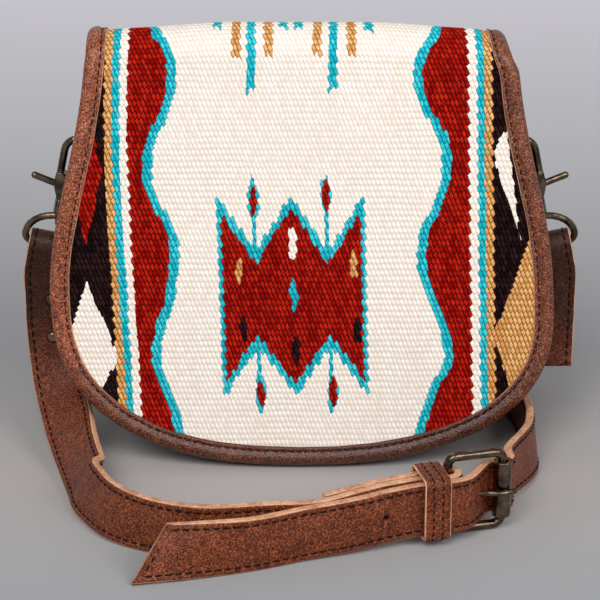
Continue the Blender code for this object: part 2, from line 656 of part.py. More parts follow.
def by_side(past, y, z, side=1.0):
    """A point `past` the body's side, so that the strap keeps its distance from it."""
    return Vector((side * (BODY_HALF_W + past * MM), y * MM, z * MM))


def fold_round(bar, away, onward, outward, across, level, radius, taper):
    """Stations round a bar, from the layer on the `outward` side to the layer on the other side.
    `away` runs from the bar along the strap. The layers close up at `taper` from the bar and go
    `onward` from there, `across` turning to `level`."""
    closing = LAYER + (radius - LAYER) * 0.62
    leg = [(bar + away * taper + onward * (taper * 1.3), LAYER, level),
           (bar + away * taper + onward * (taper * 0.6), LAYER, level),
           (bar + away * taper, LAYER + 0.35 * MM, across),
           (bar + away * (taper * 0.5), closing, across)]
    stations = [(centre + outward * n, turn) for centre, n, turn in leg]
    for i in range(9):
        a = math.radians(180.0 * i / 8)
        stations.append((bar - away * (radius * math.sin(a)) + outward * (radius * math.cos(a)), across))
    return stations + [(centre - outward * n, turn) for centre, n, turn in reversed(leg)]


def ribbon(name, stations, step, slant=0.0):
    """A strap along the stations: centre, and the direction across it from its bottom edge to its top.
    `slant` cuts its last end on the skew, with the bottom edge longer."""
    path = spline(stations, step)
    rows = []
    for centre, across in path:
        side = across.normalized() * (STRAP_W / 2)
        rows.append([centre - side, centre + side])
    if slant:
        while (path[-1][0] - path[-2][0]).length < slant * 1.3:
            del path[-2]
            del rows[-2]
        run = (path[-1][0] - path[-2][0]).normalized()
        rows[-1] = [rows[-1][0] + run * slant, rows[-1][1] - run * slant]
    return sheet(name, rows, STRAP_T, LEATHER), path


def along(path, distance):
    """The point of the path that far from its start, and the direction it runs in."""
    for (here, _), (there, _) in zip(path, path[1:]):
        run = (there - here).length
        if distance <= run:
            return here + (there - here) * (distance / run), (there - here).normalized()
        distance -= run
    return path[-1][0], (path[-1][0] - path[-2][0]).normalized()


buckle_run = Vector((math.cos(BUCKLE_TURN), math.sin(BUCKLE_TURN), 0.0))
buckle_out = Vector((math.sin(BUCKLE_TURN), -math.cos(BUCKLE_TURN), 0.0))
buckle_frame_matrix = Matrix((buckle_run, -buckle_out, Z)).transposed().to_4x4()
heel = BUCKLE_AT - buckle_run * (BUCKLE_L / 2)


def beside(u, n, drop=0.0):
    """The strap's middle at the buckle: u along it from the heel bar, n toward the front."""
    return heel + buckle_run * (u * MM) + buckle_out * (n * MM) - Z * (STRAP_SINK + drop * MM)


# The buckle's strap hangs from the left eye, turns forward along the floor and ends round the heel bar
left_in = Vector((math.cos(HOOK_TILT), 0.0, -math.sin(HOOK_TILT)))
left_down = Vector((-math.sin(HOOK_TILT), 0.0, -math.cos(HOOK_TILT)))
left_end = left_bar + left_down * FOLD_TAPER + Y * LAYER - Z * (SHORT_FOLD_L - FOLD_TAPER)
left_round = fold_round(left_bar, left_down, -Z, Y, left_in, X, EYE_FOLD_R, FOLD_TAPER)
short_stations = [(left_end, X), *left_round,
                  (left_round[-1][0] - Z * (9 * MM), X),
                  (by_side(23.1, -3.6, 42, -1.0), X),
                  (by_side(20.7, -10.5, 27.5, -1.0), Vector((0.91, -0.05, 0.42))),
                  (by_side(15.1, -30, 19, -1.0), Vector((0.85, 0.06, 0.52))),
                  (by_side(9.1, -53, 14.4, -1.0), Vector((0.70, 0.05, 0.72))),
                  (by_side(3.3, -78, 12.8, -1.0), Vector((0.60, 0.08, 0.80))),
                  (by_side(-2.1, -97, 13.0, -1.0), Vector((0.46, 0.28, 0.84))),
                  (by_side(-11, -112.5, 13.3, -1.0), Vector((0.27, 0.24, 0.93))),
                  (by_side(-26.5, -125, 13.3, -1.0), Vector((0.06, 0.10, 0.99))),
                  (at(-46, -133.5, 13.3), Z),
                  (at(-14, -131.3, 13.5), Z),
                  (beside(-60, LAYER / MM + 0.4, 5.2), Z),
                  (beside(-44, LAYER / MM, 3.0), Z)]
fall = (-buckle_run - Z * 0.07).normalized()
heel_round = fold_round(beside(0, 0), -buckle_run, fall, buckle_out, Z, Z, HEEL_FOLD_R, FOLD_TAPER)
short_stations += [*heel_round, (beside(-44, -LAYER / MM, 3.0), Z), (beside(-58, -LAYER / MM, 5.0), Z)]
strap_short, short_path = ribbon("strap_short", short_stations, STRAP_STEP)

# The other strap hangs from the right eye, runs behind the bag and back, and passes through the buckle
right_in = Vector((-math.cos(HOOK_TILT), 0.0, -math.sin(HOOK_TILT)))
right_down = Vector((math.sin(HOOK_TILT), 0.0, -math.cos(HOOK_TILT)))
right_end = right_bar + right_down * FOLD_TAPER - Y * LAYER - Z * (LONG_FOLD_L - FOLD_TAPER)
right_round = fold_round(right_bar, right_down, -Z, -Y, right_in, -X, EYE_FOLD_R, FOLD_TAPER)
behind = turned(at(-58, 83, 13.4), 25 * MM, 90.0, 270.0, 8, across=X, up=Y)
long_stations = [(right_end, -X), *right_round,
                 (right_round[-1][0] - Z * (9 * MM), -X),
                 (by_side(24.1, 3.6, 47), -X),
                 (by_side(22.9, 12, 37.5), Vector((-1.0, 0.0, 0.05))),
                 (by_side(20.5, 28, 32), Vector((-0.97, 0.03, 0.2))),
                 (by_side(17, 47, 25.5), Vector((-0.9, 0.0, 0.42))),
                 (by_side(11, 68, 18.6), Vector((-0.72, -0.1, 0.68))),
                 (by_side(0.5, 87, 14.4), Vector((-0.38, -0.2, 0.9))),
                 (by_side(-16.5, 100, 13.4), Vector((-0.08, -0.08, 1.0))),
                 (at(50, 107, 13.4), Z),
                 (at(0, 109, 13.4), Z),
                 *[(p, Z) for p in behind],
                 (at(0, 57, 13.4), Z),
                 (at(52, 54.5, 13.4), Z),
                 (by_side(-14.5, 45.5, 13.4), Z),
                 (by_side(2.5, 30, 13.4), Z),
                 (by_side(10.5, 11, 13.4), Z),
                 (by_side(13.3, -12, 13.4), Z),
                 (by_side(14.9, -30, 13.4), Vector((-0.06, 0.0, 1.0))),
                 (by_side(14.1, -46, 14.0), Vector((-0.16, 0.0, 0.99))),
                 (by_side(9.6, -60.5, 15.4), Vector((-0.2, 0.0, 0.98))),
                 (by_side(3.9, -73, 17.0), Vector((-0.15, 0.0, 0.99))),
                 (by_side(-0.8, -84, 18.4), Vector((-0.05, 0.0, 1.0)))]
past_roller = ROLLER_R + FIT + STRAP_T / 2
past_heel = HEEL_FOLD_R + STRAP_T + PLY_GAP
over_folds = (LAYER + STRAP_T) / MM
long_stations += [(beside(32.0, -past_roller / MM - 0.8, 0.3), Z),
                  (beside(BUCKLE_L / MM, -past_roller / MM), Z),
                  (beside(20.6, -5.4), Z), (beside(16.4, -1.2), Z), (beside(12, 3.6), Z), (beside(7, 7.9), Z),
                  (beside(0, past_heel / MM), Z),
                  (beside(-8, over_folds + 2.3, 0.2), Z),
                  (beside(-16, over_folds + 1.0, 0.9), Z),
                  (beside(-30, over_folds + 0.6, 2.2), Z),
                  (beside(-45, over_folds + 0.9, 4.0), Z),
                  (at(2, -137, 14.0), Z),
                  (at(-22, -146, 13.3), Z),
                  (at(-45, -151.3, 13.5), Vector((0.0, 0.14, 0.99))),
                  (at(-66.7, -154.4, 13.2), Vector((-0.06, 0.34, 0.94)))]
strap_long, long_path = ribbon("strap_long", long_stations, STRAP_STEP, TIP_SLANT)

# Buckle: bent rod frame, roller on its far bar, prong on its heel bar, keeper beside it


def in_buckle(u, n, z):
    return heel + buckle_run * u + buckle_out * n + Z * z


heel_corner = HEEL_CORNER
far_corner = BUCKLE_HALF_H - ROLLER_L / 2 - FIT
far_u = BUCKLE_L - far_corner
corners = ((heel_corner, BUCKLE_HALF_H - heel_corner, heel_corner, 180.0, 6),
           (far_u, BUCKLE_HALF_H - far_corner, far_corner, 90.0, 5),
           (far_u, far_corner - BUCKLE_HALF_H, far_corner, 0.0, 5),
           (heel_corner, heel_corner - BUCKLE_HALF_H, heel_corner, -90.0, 6))
loop = []
for u, z, radius, start, steps in corners:
    loop += turned(in_buckle(u, 0, z), radius, start, start - 90.0, steps, across=buckle_run)
buckle_frame = part("buckle_frame", rod("buckle_frame", loop, BUCKLE_ROD_R, cyclic=True, facets=3), BRASS)

roller_at = Matrix.Translation(heel + buckle_run * BUCKLE_L)
buckle_roller = part("buckle_roller", cylinder("buckle_roller", ROLLER_R, ROLLER_L, roller_at, sides=28), BRASS)
roller_bore = cylinder("roller_bore", BUCKLE_ROD_R + FIT, ROLLER_L * 1.5, roller_at, sides=24)
boolean(buckle_roller, cutter("roller_bore", roller_bore), "DIFFERENCE")

prong_ring = BUCKLE_ROD_R + FIT + PRONG_R
over_roller = ROLLER_R + FIT + PRONG_R
prong_path = turned(heel, prong_ring, 5.0, -285.0, 16, across=buckle_run, up=buckle_out)
arm = [(5.0, 4.5), (9.0, 3.9), (14.0, 3.5), (18.5, 4.3), (22.5, over_roller / MM - 0.1), (27.0, over_roller / MM),
       (31.2, over_roller / MM - 0.7)]
arm_path = [p[0] for p in spline([(in_buckle(u * MM, n * MM, 0.0),) for u, n in arm], 2.5 * MM)]
buckle_prong = part("buckle_prong", rod("buckle_prong", prong_path + arm_path, PRONG_R, facets=3), BRASS)

through_strap = [p for p in arm_path if 4.5 * MM < (p - heel).length < 22 * MM]
prong_hole = rod("prong_hole", through_strap, PRONG_R + 0.7 * MM, facets=3)
boolean(strap_long, cutter("prong_hole", prong_hole), "DIFFERENCE")
slot_size = (2 * (HEEL_FOLD_R + STRAP_T), 2 * (HEEL_FOLD_R + STRAP_T), 2 * PRONG_R + 4 * FIT)
slot_place = Matrix.Translation(heel + buckle_run * (3.0 * MM)) @ buckle_frame_matrix
boolean(strap_short, cutter("prong_slot", box("prong_slot", slot_size, slot_place)), "DIFFERENCE")

to_prong = 0.0
for (here, _), (there, _) in zip(long_path, long_path[1:]):
    if (there - beside(13.5, 2.2)).length < 3.0 * MM:
        break
    to_prong += (there - here).length
for k in (1, 2):
    spot, run = along(long_path, to_prong + k * HOLE_PITCH)
    turn = run.cross(Z).to_track_quat("Z", "Y").to_matrix().to_4x4()
    hole = cylinder(f"strap_hole_{k}", HOLE_R, 3 * STRAP_T, Matrix.Translation(spot) @ turn, sides=12)
    boolean(strap_long, cutter(f"strap_hole_{k}", hole), "DIFFERENCE")

keeper_back = -(HEEL_FOLD_R + STRAP_T / 2 + FIT)
keeper_front = past_heel + STRAP_T / 2 + FIT
keeper_rise = STRAP_W / 2 + 2.5 * FIT
keeper_axes = Matrix((-buckle_out, buckle_run, Z)).transposed().to_4x4()
keeper_frame = Matrix.Translation(beside(KEEPER_AT / MM, 0, 0.2)) @ keeper_axes


def keeper_ring(grow):
    return [(-keeper_front - grow, -keeper_rise - grow), (-keeper_back + grow, -keeper_rise - grow),
            (-keeper_back + grow, keeper_rise + grow), (-keeper_front - grow, keeper_rise + grow)]


keeper_mesh = plate("strap_keeper", keeper_ring(KEEPER_T), KEEPER_W, keeper_frame)
strap_keeper = part("strap_keeper", keeper_mesh, LEATHER)
bevelled(strap_keeper, 1.2 * MM, 2)
keeper_room = cutter("keeper_room", plate("keeper_room", keeper_ring(0.0), 3 * KEEPER_W, keeper_frame))
boolean(strap_keeper, keeper_room, "DIFFERENCE")

prong_pivot = pivot("buckle_prong_pivot", heel)
carry(prong_pivot, buckle_prong)
roller_pivot = pivot("buckle_roller_pivot", heel + buckle_run * BUCKLE_L)
carry(roller_pivot, buckle_roller)

# Rivets through the doubled ends at the eyes
grip = 2 * STRAP_T + PLY_GAP
for label, bar, target, sign, drops in (("left", left_bar, strap_short, -1.0, LEFT_RIVET_DROPS),
                                        ("right", right_bar, strap_long, 1.0, RIGHT_RIVET_DROPS)):
    for level, drop in zip(("upper", "lower"), drops):
        place = Vector((bar.x + sign * 2.9 * MM, 0.0, bar.z - drop))
        _, hole = rivet(f"rivet_{label}_{level}", place, Y, grip)
        boolean(target, hole, "DIFFERENCE")

bpy.context.view_layer.update()
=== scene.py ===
"""The looks of a crossbody bag with a woven saddle-blanket flap, leather body and buckled strap.

Metres, +Z up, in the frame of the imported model. Lengths written in millimetres carry MM.
"""

from math import atan2, copysign, cos, pi, radians, sin

import bmesh
import bpy
from mathutils import Matrix, Vector, noise


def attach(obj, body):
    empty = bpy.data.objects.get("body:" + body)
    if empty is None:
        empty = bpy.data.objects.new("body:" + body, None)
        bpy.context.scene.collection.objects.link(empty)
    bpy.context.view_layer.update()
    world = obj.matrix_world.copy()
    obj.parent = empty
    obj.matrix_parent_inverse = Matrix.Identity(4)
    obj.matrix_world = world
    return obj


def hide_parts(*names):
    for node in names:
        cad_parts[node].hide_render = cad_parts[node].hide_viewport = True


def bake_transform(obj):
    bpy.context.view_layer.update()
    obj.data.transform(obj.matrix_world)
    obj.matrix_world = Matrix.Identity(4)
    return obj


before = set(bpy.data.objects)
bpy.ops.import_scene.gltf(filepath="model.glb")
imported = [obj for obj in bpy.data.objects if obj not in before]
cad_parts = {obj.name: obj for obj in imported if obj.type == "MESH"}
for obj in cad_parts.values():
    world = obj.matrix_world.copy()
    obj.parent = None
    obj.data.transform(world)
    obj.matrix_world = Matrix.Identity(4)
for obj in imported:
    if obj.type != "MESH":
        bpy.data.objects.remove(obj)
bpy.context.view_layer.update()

MM = 0.001
X = Vector((1.0, 0.0, 0.0))
Y = Vector((0.0, 1.0, 0.0))
Z = Vector((0.0, 0.0, 1.0))


def added(name, data):
    """A new object in the scene."""
    made = bpy.data.objects.new(name, data)
    bpy.context.scene.collection.objects.link(made)
    return made


def aimed(name, data, place, target):
    """A camera or lamp at `place` that looks at `target`."""
    made = added(name, data)
    made.location = place
    made.rotation_euler = (target - place).to_track_quat("-Z", "Y").to_euler()
    return made


# Camera, as the photograph was taken: from the front, 22 degrees above the floor
EYE = Vector((0.0, -1.02992, 0.48754))
LOOK = Vector((0.0, -0.0223, 0.08044))
lens = bpy.data.cameras.new("camera")
lens.lens = 134.5
lens.sensor_width = 36.0
bpy.context.scene.camera = aimed("camera", lens, EYE, LOOK)
bpy.context.scene.view_settings.view_transform = "Standard"

# Materials


def linear(*shades):
    """A colour written in 0 to 255, as the linear values a shader takes."""
    values = [s / 255.0 for s in shades]
    return (*[v / 12.92 if v <= 0.04045 else ((v + 0.055) / 1.055) ** 2.4 for v in values], 1.0)


def maths(operation):
    return lambda term, other: term.do(operation, other)


class Term:
    """A number that varies over the surface. Arithmetic on it adds Math nodes."""

    def __init__(self, graph, socket):
        self.graph = graph
        self.socket = socket

    def do(self, operation, *others):
        node = self.graph.node("Math", self, *others, operation=operation)
        return Term(self.graph, node.outputs[0])

    __add__ = maths("ADD")
    __sub__ = maths("SUBTRACT")
    __mul__ = maths("MULTIPLY")
    __truediv__ = maths("DIVIDE")
    over = maths("GREATER_THAN")
    under = maths("LESS_THAN")

    def __rsub__(self, other):
        return self.do("MULTIPLY", -1.0).do("ADD", other)

    def between(self, low, high):
        return self.over(low) * self.under(high)

    def smooth(self, low, high):
        """0 below `low`, 1 above `high`."""
        node = self.graph.node("MapRange", self, low, high, 0.0, 1.0, interpolation_type="SMOOTHSTEP")
        return Term(self.graph, node.outputs[0])


class Graph:
    """One material, built from small expressions."""

    def __init__(self, name, **looks):
        self.material = bpy.data.materials.new(name)
        self.material.use_nodes = True
        self.tree = self.material.node_tree
        self.shader = self.tree.nodes["Principled BSDF"]
        for socket, value in looks.items():
            self.shader.inputs[socket.replace("_", " ")].default_value = value

    def node(self, kind, *inputs, **settings):
        """A shader node, with its first inputs fed."""
        made = self.tree.nodes.new("ShaderNode" + kind)
        for key, value in settings.items():
            setattr(made, key, value)
        for socket, value in zip(made.inputs, inputs):
            self.feed(socket, value)
        return made

    def feed(self, socket, value):
        value = value.socket if isinstance(value, Term) else value
        if isinstance(value, bpy.types.NodeSocket):
            self.tree.links.new(value, socket)
        else:
            socket.default_value = value

    def place(self):
        return self.node("TexCoord").outputs["Object"]

    def axes(self, vector=None):
        """The three numbers of `vector`, or of the place on the object."""
        node = self.node("SeparateXYZ", vector or self.place())
        return [Term(self, socket) for socket in node.outputs]

    def stretched(self, by):
        """The place on the object, scaled along each axis."""
        still = (0.0, 0.0, 0.0)
        return self.node("Mapping", self.place(), still, still, by).outputs[0]

    def noise(self, size, detail=2.0, roughness=0.5, vector=None):
        """Noise whose lumps are about `size` metres across."""
        node = self.node("TexNoise", vector or self.place(), 0.0, 1.0 / size, detail, roughness)
        return Term(self, node.outputs["Fac"])

    def from_edge(self, size):
        """The distance from the edges between cells that are about `size` metres across."""
        node = self.node("TexVoronoi", self.place(), 0.0, 1.0 / size, feature="DISTANCE_TO_EDGE")
        return Term(self, node.outputs["Distance"])

    def white(self, a, b):
        """A random number for each pair of whole numbers."""
        node = self.node("TexWhiteNoise", self.node("CombineXYZ", a, b).outputs[0])
        return Term(self, node.outputs["Value"])

    def mix(self, share, low, high, how="MIX"):
        """From the colour `low` to the colour `high`, each another mix or written in 0 to 255."""
        node = self.node("Mix", share, data_type="RGBA", blend_type=how)
        for number, colour in ((6, low), (7, high)):
            self.feed(node.inputs[number], linear(*colour) if isinstance(colour, tuple) else colour)
        return node.outputs[2]

    def shaded(self, colour, light):
        """The colour times a number."""
        grey = self.node("CombineColor", light, light, light)
        return self.mix(1.0, colour, grey.outputs[0], "MULTIPLY")

    def curve(self, value, points, low, high):
        """A smooth curve through `points`, which run from 0 to 1 along and from `low` to `high` up."""
        node = self.node("FloatCurve", 1.0, value)
        line = node.mapping.curves[0]
        while len(line.points) < len(points):
            line.points.new(0.5, 0.5)
        for point, (at, height) in zip(line.points, points):
            point.location = (at, (height - low) / (high - low))
            point.handle_type = "AUTO"
        node.mapping.update()
        return Term(self, node.outputs[0]) * (high - low) + low

    def finish(self, colour, roughness=None, height=None, depth=0.2 * MM, strength=1.0, rounded=0.0):
        """The material, with its bumps `depth` high and its faceted edges `rounded` by that radius."""
        self.feed(self.shader.inputs["Base Color"], colour)
        if roughness is not None:
            self.feed(self.shader.inputs["Roughness"], roughness)
        if height is not None:
            bump = self.node("Bump", strength, depth)
            self.feed(bump.inputs["Height"], height)
            if rounded:
                self.feed(bump.inputs["Normal"], self.node("Bevel", rounded, samples=6).outputs[0])
            self.feed(self.shader.inputs["Normal"], bump.outputs[0])
        return self.material


def leather(name, dark, middle, light, rough, grain, gloss, painted_light_by=None):
    """Oiled hide: fine pebbled grain, soft wrinkles, uneven dye and rubbed high spots.

    Its last argument, a function of x and z, gives painted light and shade as the colour's lightness.
    """
    g = Graph(name, Specular_IOR_Level=gloss)
    crack = 1.0 - g.from_edge(grain).smooth(0.0, 0.25)
    fine = g.noise(0.9 * MM, 3.0, 0.7)
    wrinkle = g.noise(3.0 * MM, 3.0, 0.65)
    dye = g.noise(15 * MM, 5.0, 0.65)
    height = fine * 0.75 + wrinkle * 0.35 - crack * 0.3
    tone = fine * 0.72 + wrinkle * 0.16 + dye * 0.12 - crack * 0.05
    colour = g.mix(tone.smooth(0.38, 0.49), dark, middle)
    colour = g.mix(tone.smooth(0.48, 0.62), colour, light)
    # Painted light and shade, by place on the piece
    if painted_light_by:
        x, _, z = g.axes()
        colour = g.shaded(colour, painted_light_by(x, z))
    return g.finish(colour, fine * 0.3 + (rough - 0.15), height, 0.26 * MM)


def raw_edge(name, dark, light, darker_low=None):
    """The cut edge of the hide: pale fibres along the layers, going over to a further, given colour near
    the floor.
    """
    g = Graph(name, Roughness=0.8, Specular_IOR_Level=0.25)
    fibre = g.noise(0.7 * MM, 4.0, 0.65, g.stretched((0.35, 0.35, 2.4)))
    tone = g.noise(9 * MM, 2.0)
    colour = g.mix((fibre * 0.6 + tone * 0.4).smooth(0.3, 0.68), dark, light)
    if darker_low:
        # Toward the given colour near the floor
        z = g.axes()[2]
        colour = g.mix(z.smooth(22 * MM, 60 * MM), darker_low, colour)
    return g.finish(colour, None, fibre, 0.2 * MM, 0.8)


def suede(name, dark, light):
    """The flesh side, napped and matt."""
    g = Graph(name, Roughness=0.95, Specular_IOR_Level=0.15, Sheen_Weight=0.25)
    nap = g.noise(0.6 * MM, 5.0, 0.7)
    tone = g.noise(14 * MM, 3.0)
    colour = g.mix((nap * 0.55 + tone * 0.45).smooth(0.3, 0.7), dark, light)
    return g.finish(colour, None, nap, 0.15 * MM, 0.6)


def thread(name, dark, light):
    """Waxed and twisted."""
    g = Graph(name, Specular_IOR_Level=0.15)
    twist = g.noise(0.35 * MM, 2.0, 0.6)
    return g.finish(g.mix(twist, dark, light), twist * 0.2 + 0.6, twist, 0.1 * MM, 0.6)


def metal(name, dark, bright, rough, wear):
    """Plated metal, darker in its patina and brighter where it is rubbed."""
    g = Graph(name, Metallic=1.0)
    blotch = g.noise(6 * MM, 3.0, 0.5)
    scratch = g.noise(0.5 * MM, 3.0, 0.6, g.stretched((1.0, 1.0, 0.25)))
    worn = (blotch * 0.85 + scratch * 0.15).smooth(*wear)
    colour = g.mix(worn, dark, bright)
    return g.finish(colour, scratch * 0.08 + rough, scratch, 0.01 * MM, 0.2, rounded=0.9 * MM)


def painted_shade_on_straps(x, z):
    """Painted shade: darker higher up, so the hanging ends are darker than the loop on the floor."""
    return 1.0 - z.smooth(25 * MM, 75 * MM) * 0.72


def painted_light_on_binding(x, z):
    """Painted light and shade: lighter above the hem, and from the right side to the left."""
    return (z.smooth(15 * MM, 70 * MM) * 0.85 + 0.6) * (1.25 - x.smooth(-60 * MM, 60 * MM) * 0.45)


# The straps' hide, with painted shade higher up
HIDE = leather("brown_leather", (58, 20, 8), (112, 52, 27), (172, 94, 56),
               rough=0.4, grain=1.2 * MM, gloss=0.3, painted_light_by=painted_shade_on_straps)
# The binding's hide, with painted light and shade by place
FLAP_HIDE = leather("binding_leather", (52, 19, 9), (106, 52, 31), (168, 100, 66),
                    rough=0.27, grain=1.2 * MM, gloss=0.5, painted_light_by=painted_light_on_binding)
BODY_HIDE = leather("body_leather", (38, 13, 6), (76, 32, 16), (122, 65, 40),
                    rough=0.42, grain=1.3 * MM, gloss=0.3)
RAW = raw_edge("raw_edge", (160, 104, 74), (228, 178, 142))
# The binding's raw edge, darker toward the floor
LOW_DARKENED_EDGE = raw_edge("low_darkened_edge", (166, 112, 86), (228, 178, 146), darker_low=(96, 58, 43))
SUEDE = suede("flesh_side", (118, 76, 52), (158, 112, 82))
THREAD = thread("black_thread", (8, 5, 5), (30, 20, 18))
BRASS = metal("antique_brass", (66, 55, 46), (138, 120, 101), rough=0.09, wear=(0.3, 0.75))
STEEL = metal("plated_steel", (150, 146, 140), (200, 196, 190), rough=0.2, wear=(0.4, 0.7))

# The woven flap's pattern, in millimetres: x to the right, s up the flap from its hem

RIB = 2.93  # from one cord of the warp to the next, up the flap
BEAD = 2.05  # from one bead of yarn to the next, across it
SKEW = 0.03  # the yarns lean to the left as they go up
SLANT = 0.2  # and each bead leans a little more
LEANING = 0.3  # by this share of its width, its crest leans from foot to top
NEST = 0.2  # by this share of a row, each bead reaches between those above and below it
LEVEL = 110.0  # the height at which the leaning yarns are where the pattern is drawn
STEPPED = (0.65, 0.7)  # how far the colours' edges follow the beads instead of the drawing, in x and s
OUTLINE = 4.6  # the teal outline of the zigzag edges

# Curves up the flap, from DRAWN_FROM over DRAWN_SPAN, as (s, x): the two zigzag edges of the middle
# field, and how far the left band's straight stripes stray
DRAWN_FROM = -5.0
DRAWN_SPAN = 255.0
ZIG_LEFT = ((-5, -52), (18, -56), (43, -63), (56, -67), (64, -66.5), (90, -59.5), (103, -58), (112, -58),
            (145, -70.3), (153, -70), (188, -58.6), (198, -58), (217, -65), (250, -71))
ZIG_RIGHT = ((-5, 50), (18, 56), (45, 64.5), (57, 69.8), (62, 69), (91, 59.5), (105, 55.8), (113, 56.3),
             (148, 67), (157, 66.8), (193, 53), (199, 53.4), (217, 61), (250, 66))
BEND_LEFT = ((-5, 0), (40, 0), (95, -0.6), (150, -0.9), (178, 0.0), (205, 1.8), (225, 2.4), (250, 2.6))

# Where each straight stripe of a band begins, outward from the zigzag
STRIPES_LEFT = ((-79.6, "cream"), (-83.2, "teal"), (-86.8, "ochre"), (-90.4, "black"))
STRIPES_RIGHT = ((81.4, "cream"), (85.4, "teal"), (89.0, "ochre"), (92.6, "black"))

# Bars that come over the fold: middle x, lower end
BAR_HALF = 2.0
BARS = ((-39, 216, "teal"), (-30, 200, "ochre"), (-23, 185, "teal"), (-15, 201, "ochre"), (-8, 216, "teal"),
        (-1, 216, "teal"), (8, 201, "ochre"), (15.5, 185, "teal"), (24, 201, "ochre"), (32, 215, "teal"))

# Ovals: centre x, half width, centre s, half height
MARKS = ((-3.7, 1.9, 109.5, 4.6, "cream"), (-3.4, 1.9, 116.3, 4.6, "cream"), (-3.8, 1.6, 90.0, 5.0, "teal"),
         (-3.2, 1.6, 84.5, 5.0, "teal"), (-3.4, 1.8, 60.5, 6.2, "black"), (-29.5, 1.8, 99.0, 6.5, "ochre"),
         (25.5, 1.8, 103.0, 6.5, "ochre"), (-28.5, 1.8, 71.0, 6.5, "black"),
         (26.5, 1.8, 70.5, 7.0, "black"))
BUDS = ((-21.5, 133.0), (13.0, 136.5), (-21.0, 38.5), (14.0, 39.0))
STEMS = (-21.4, 13.2)


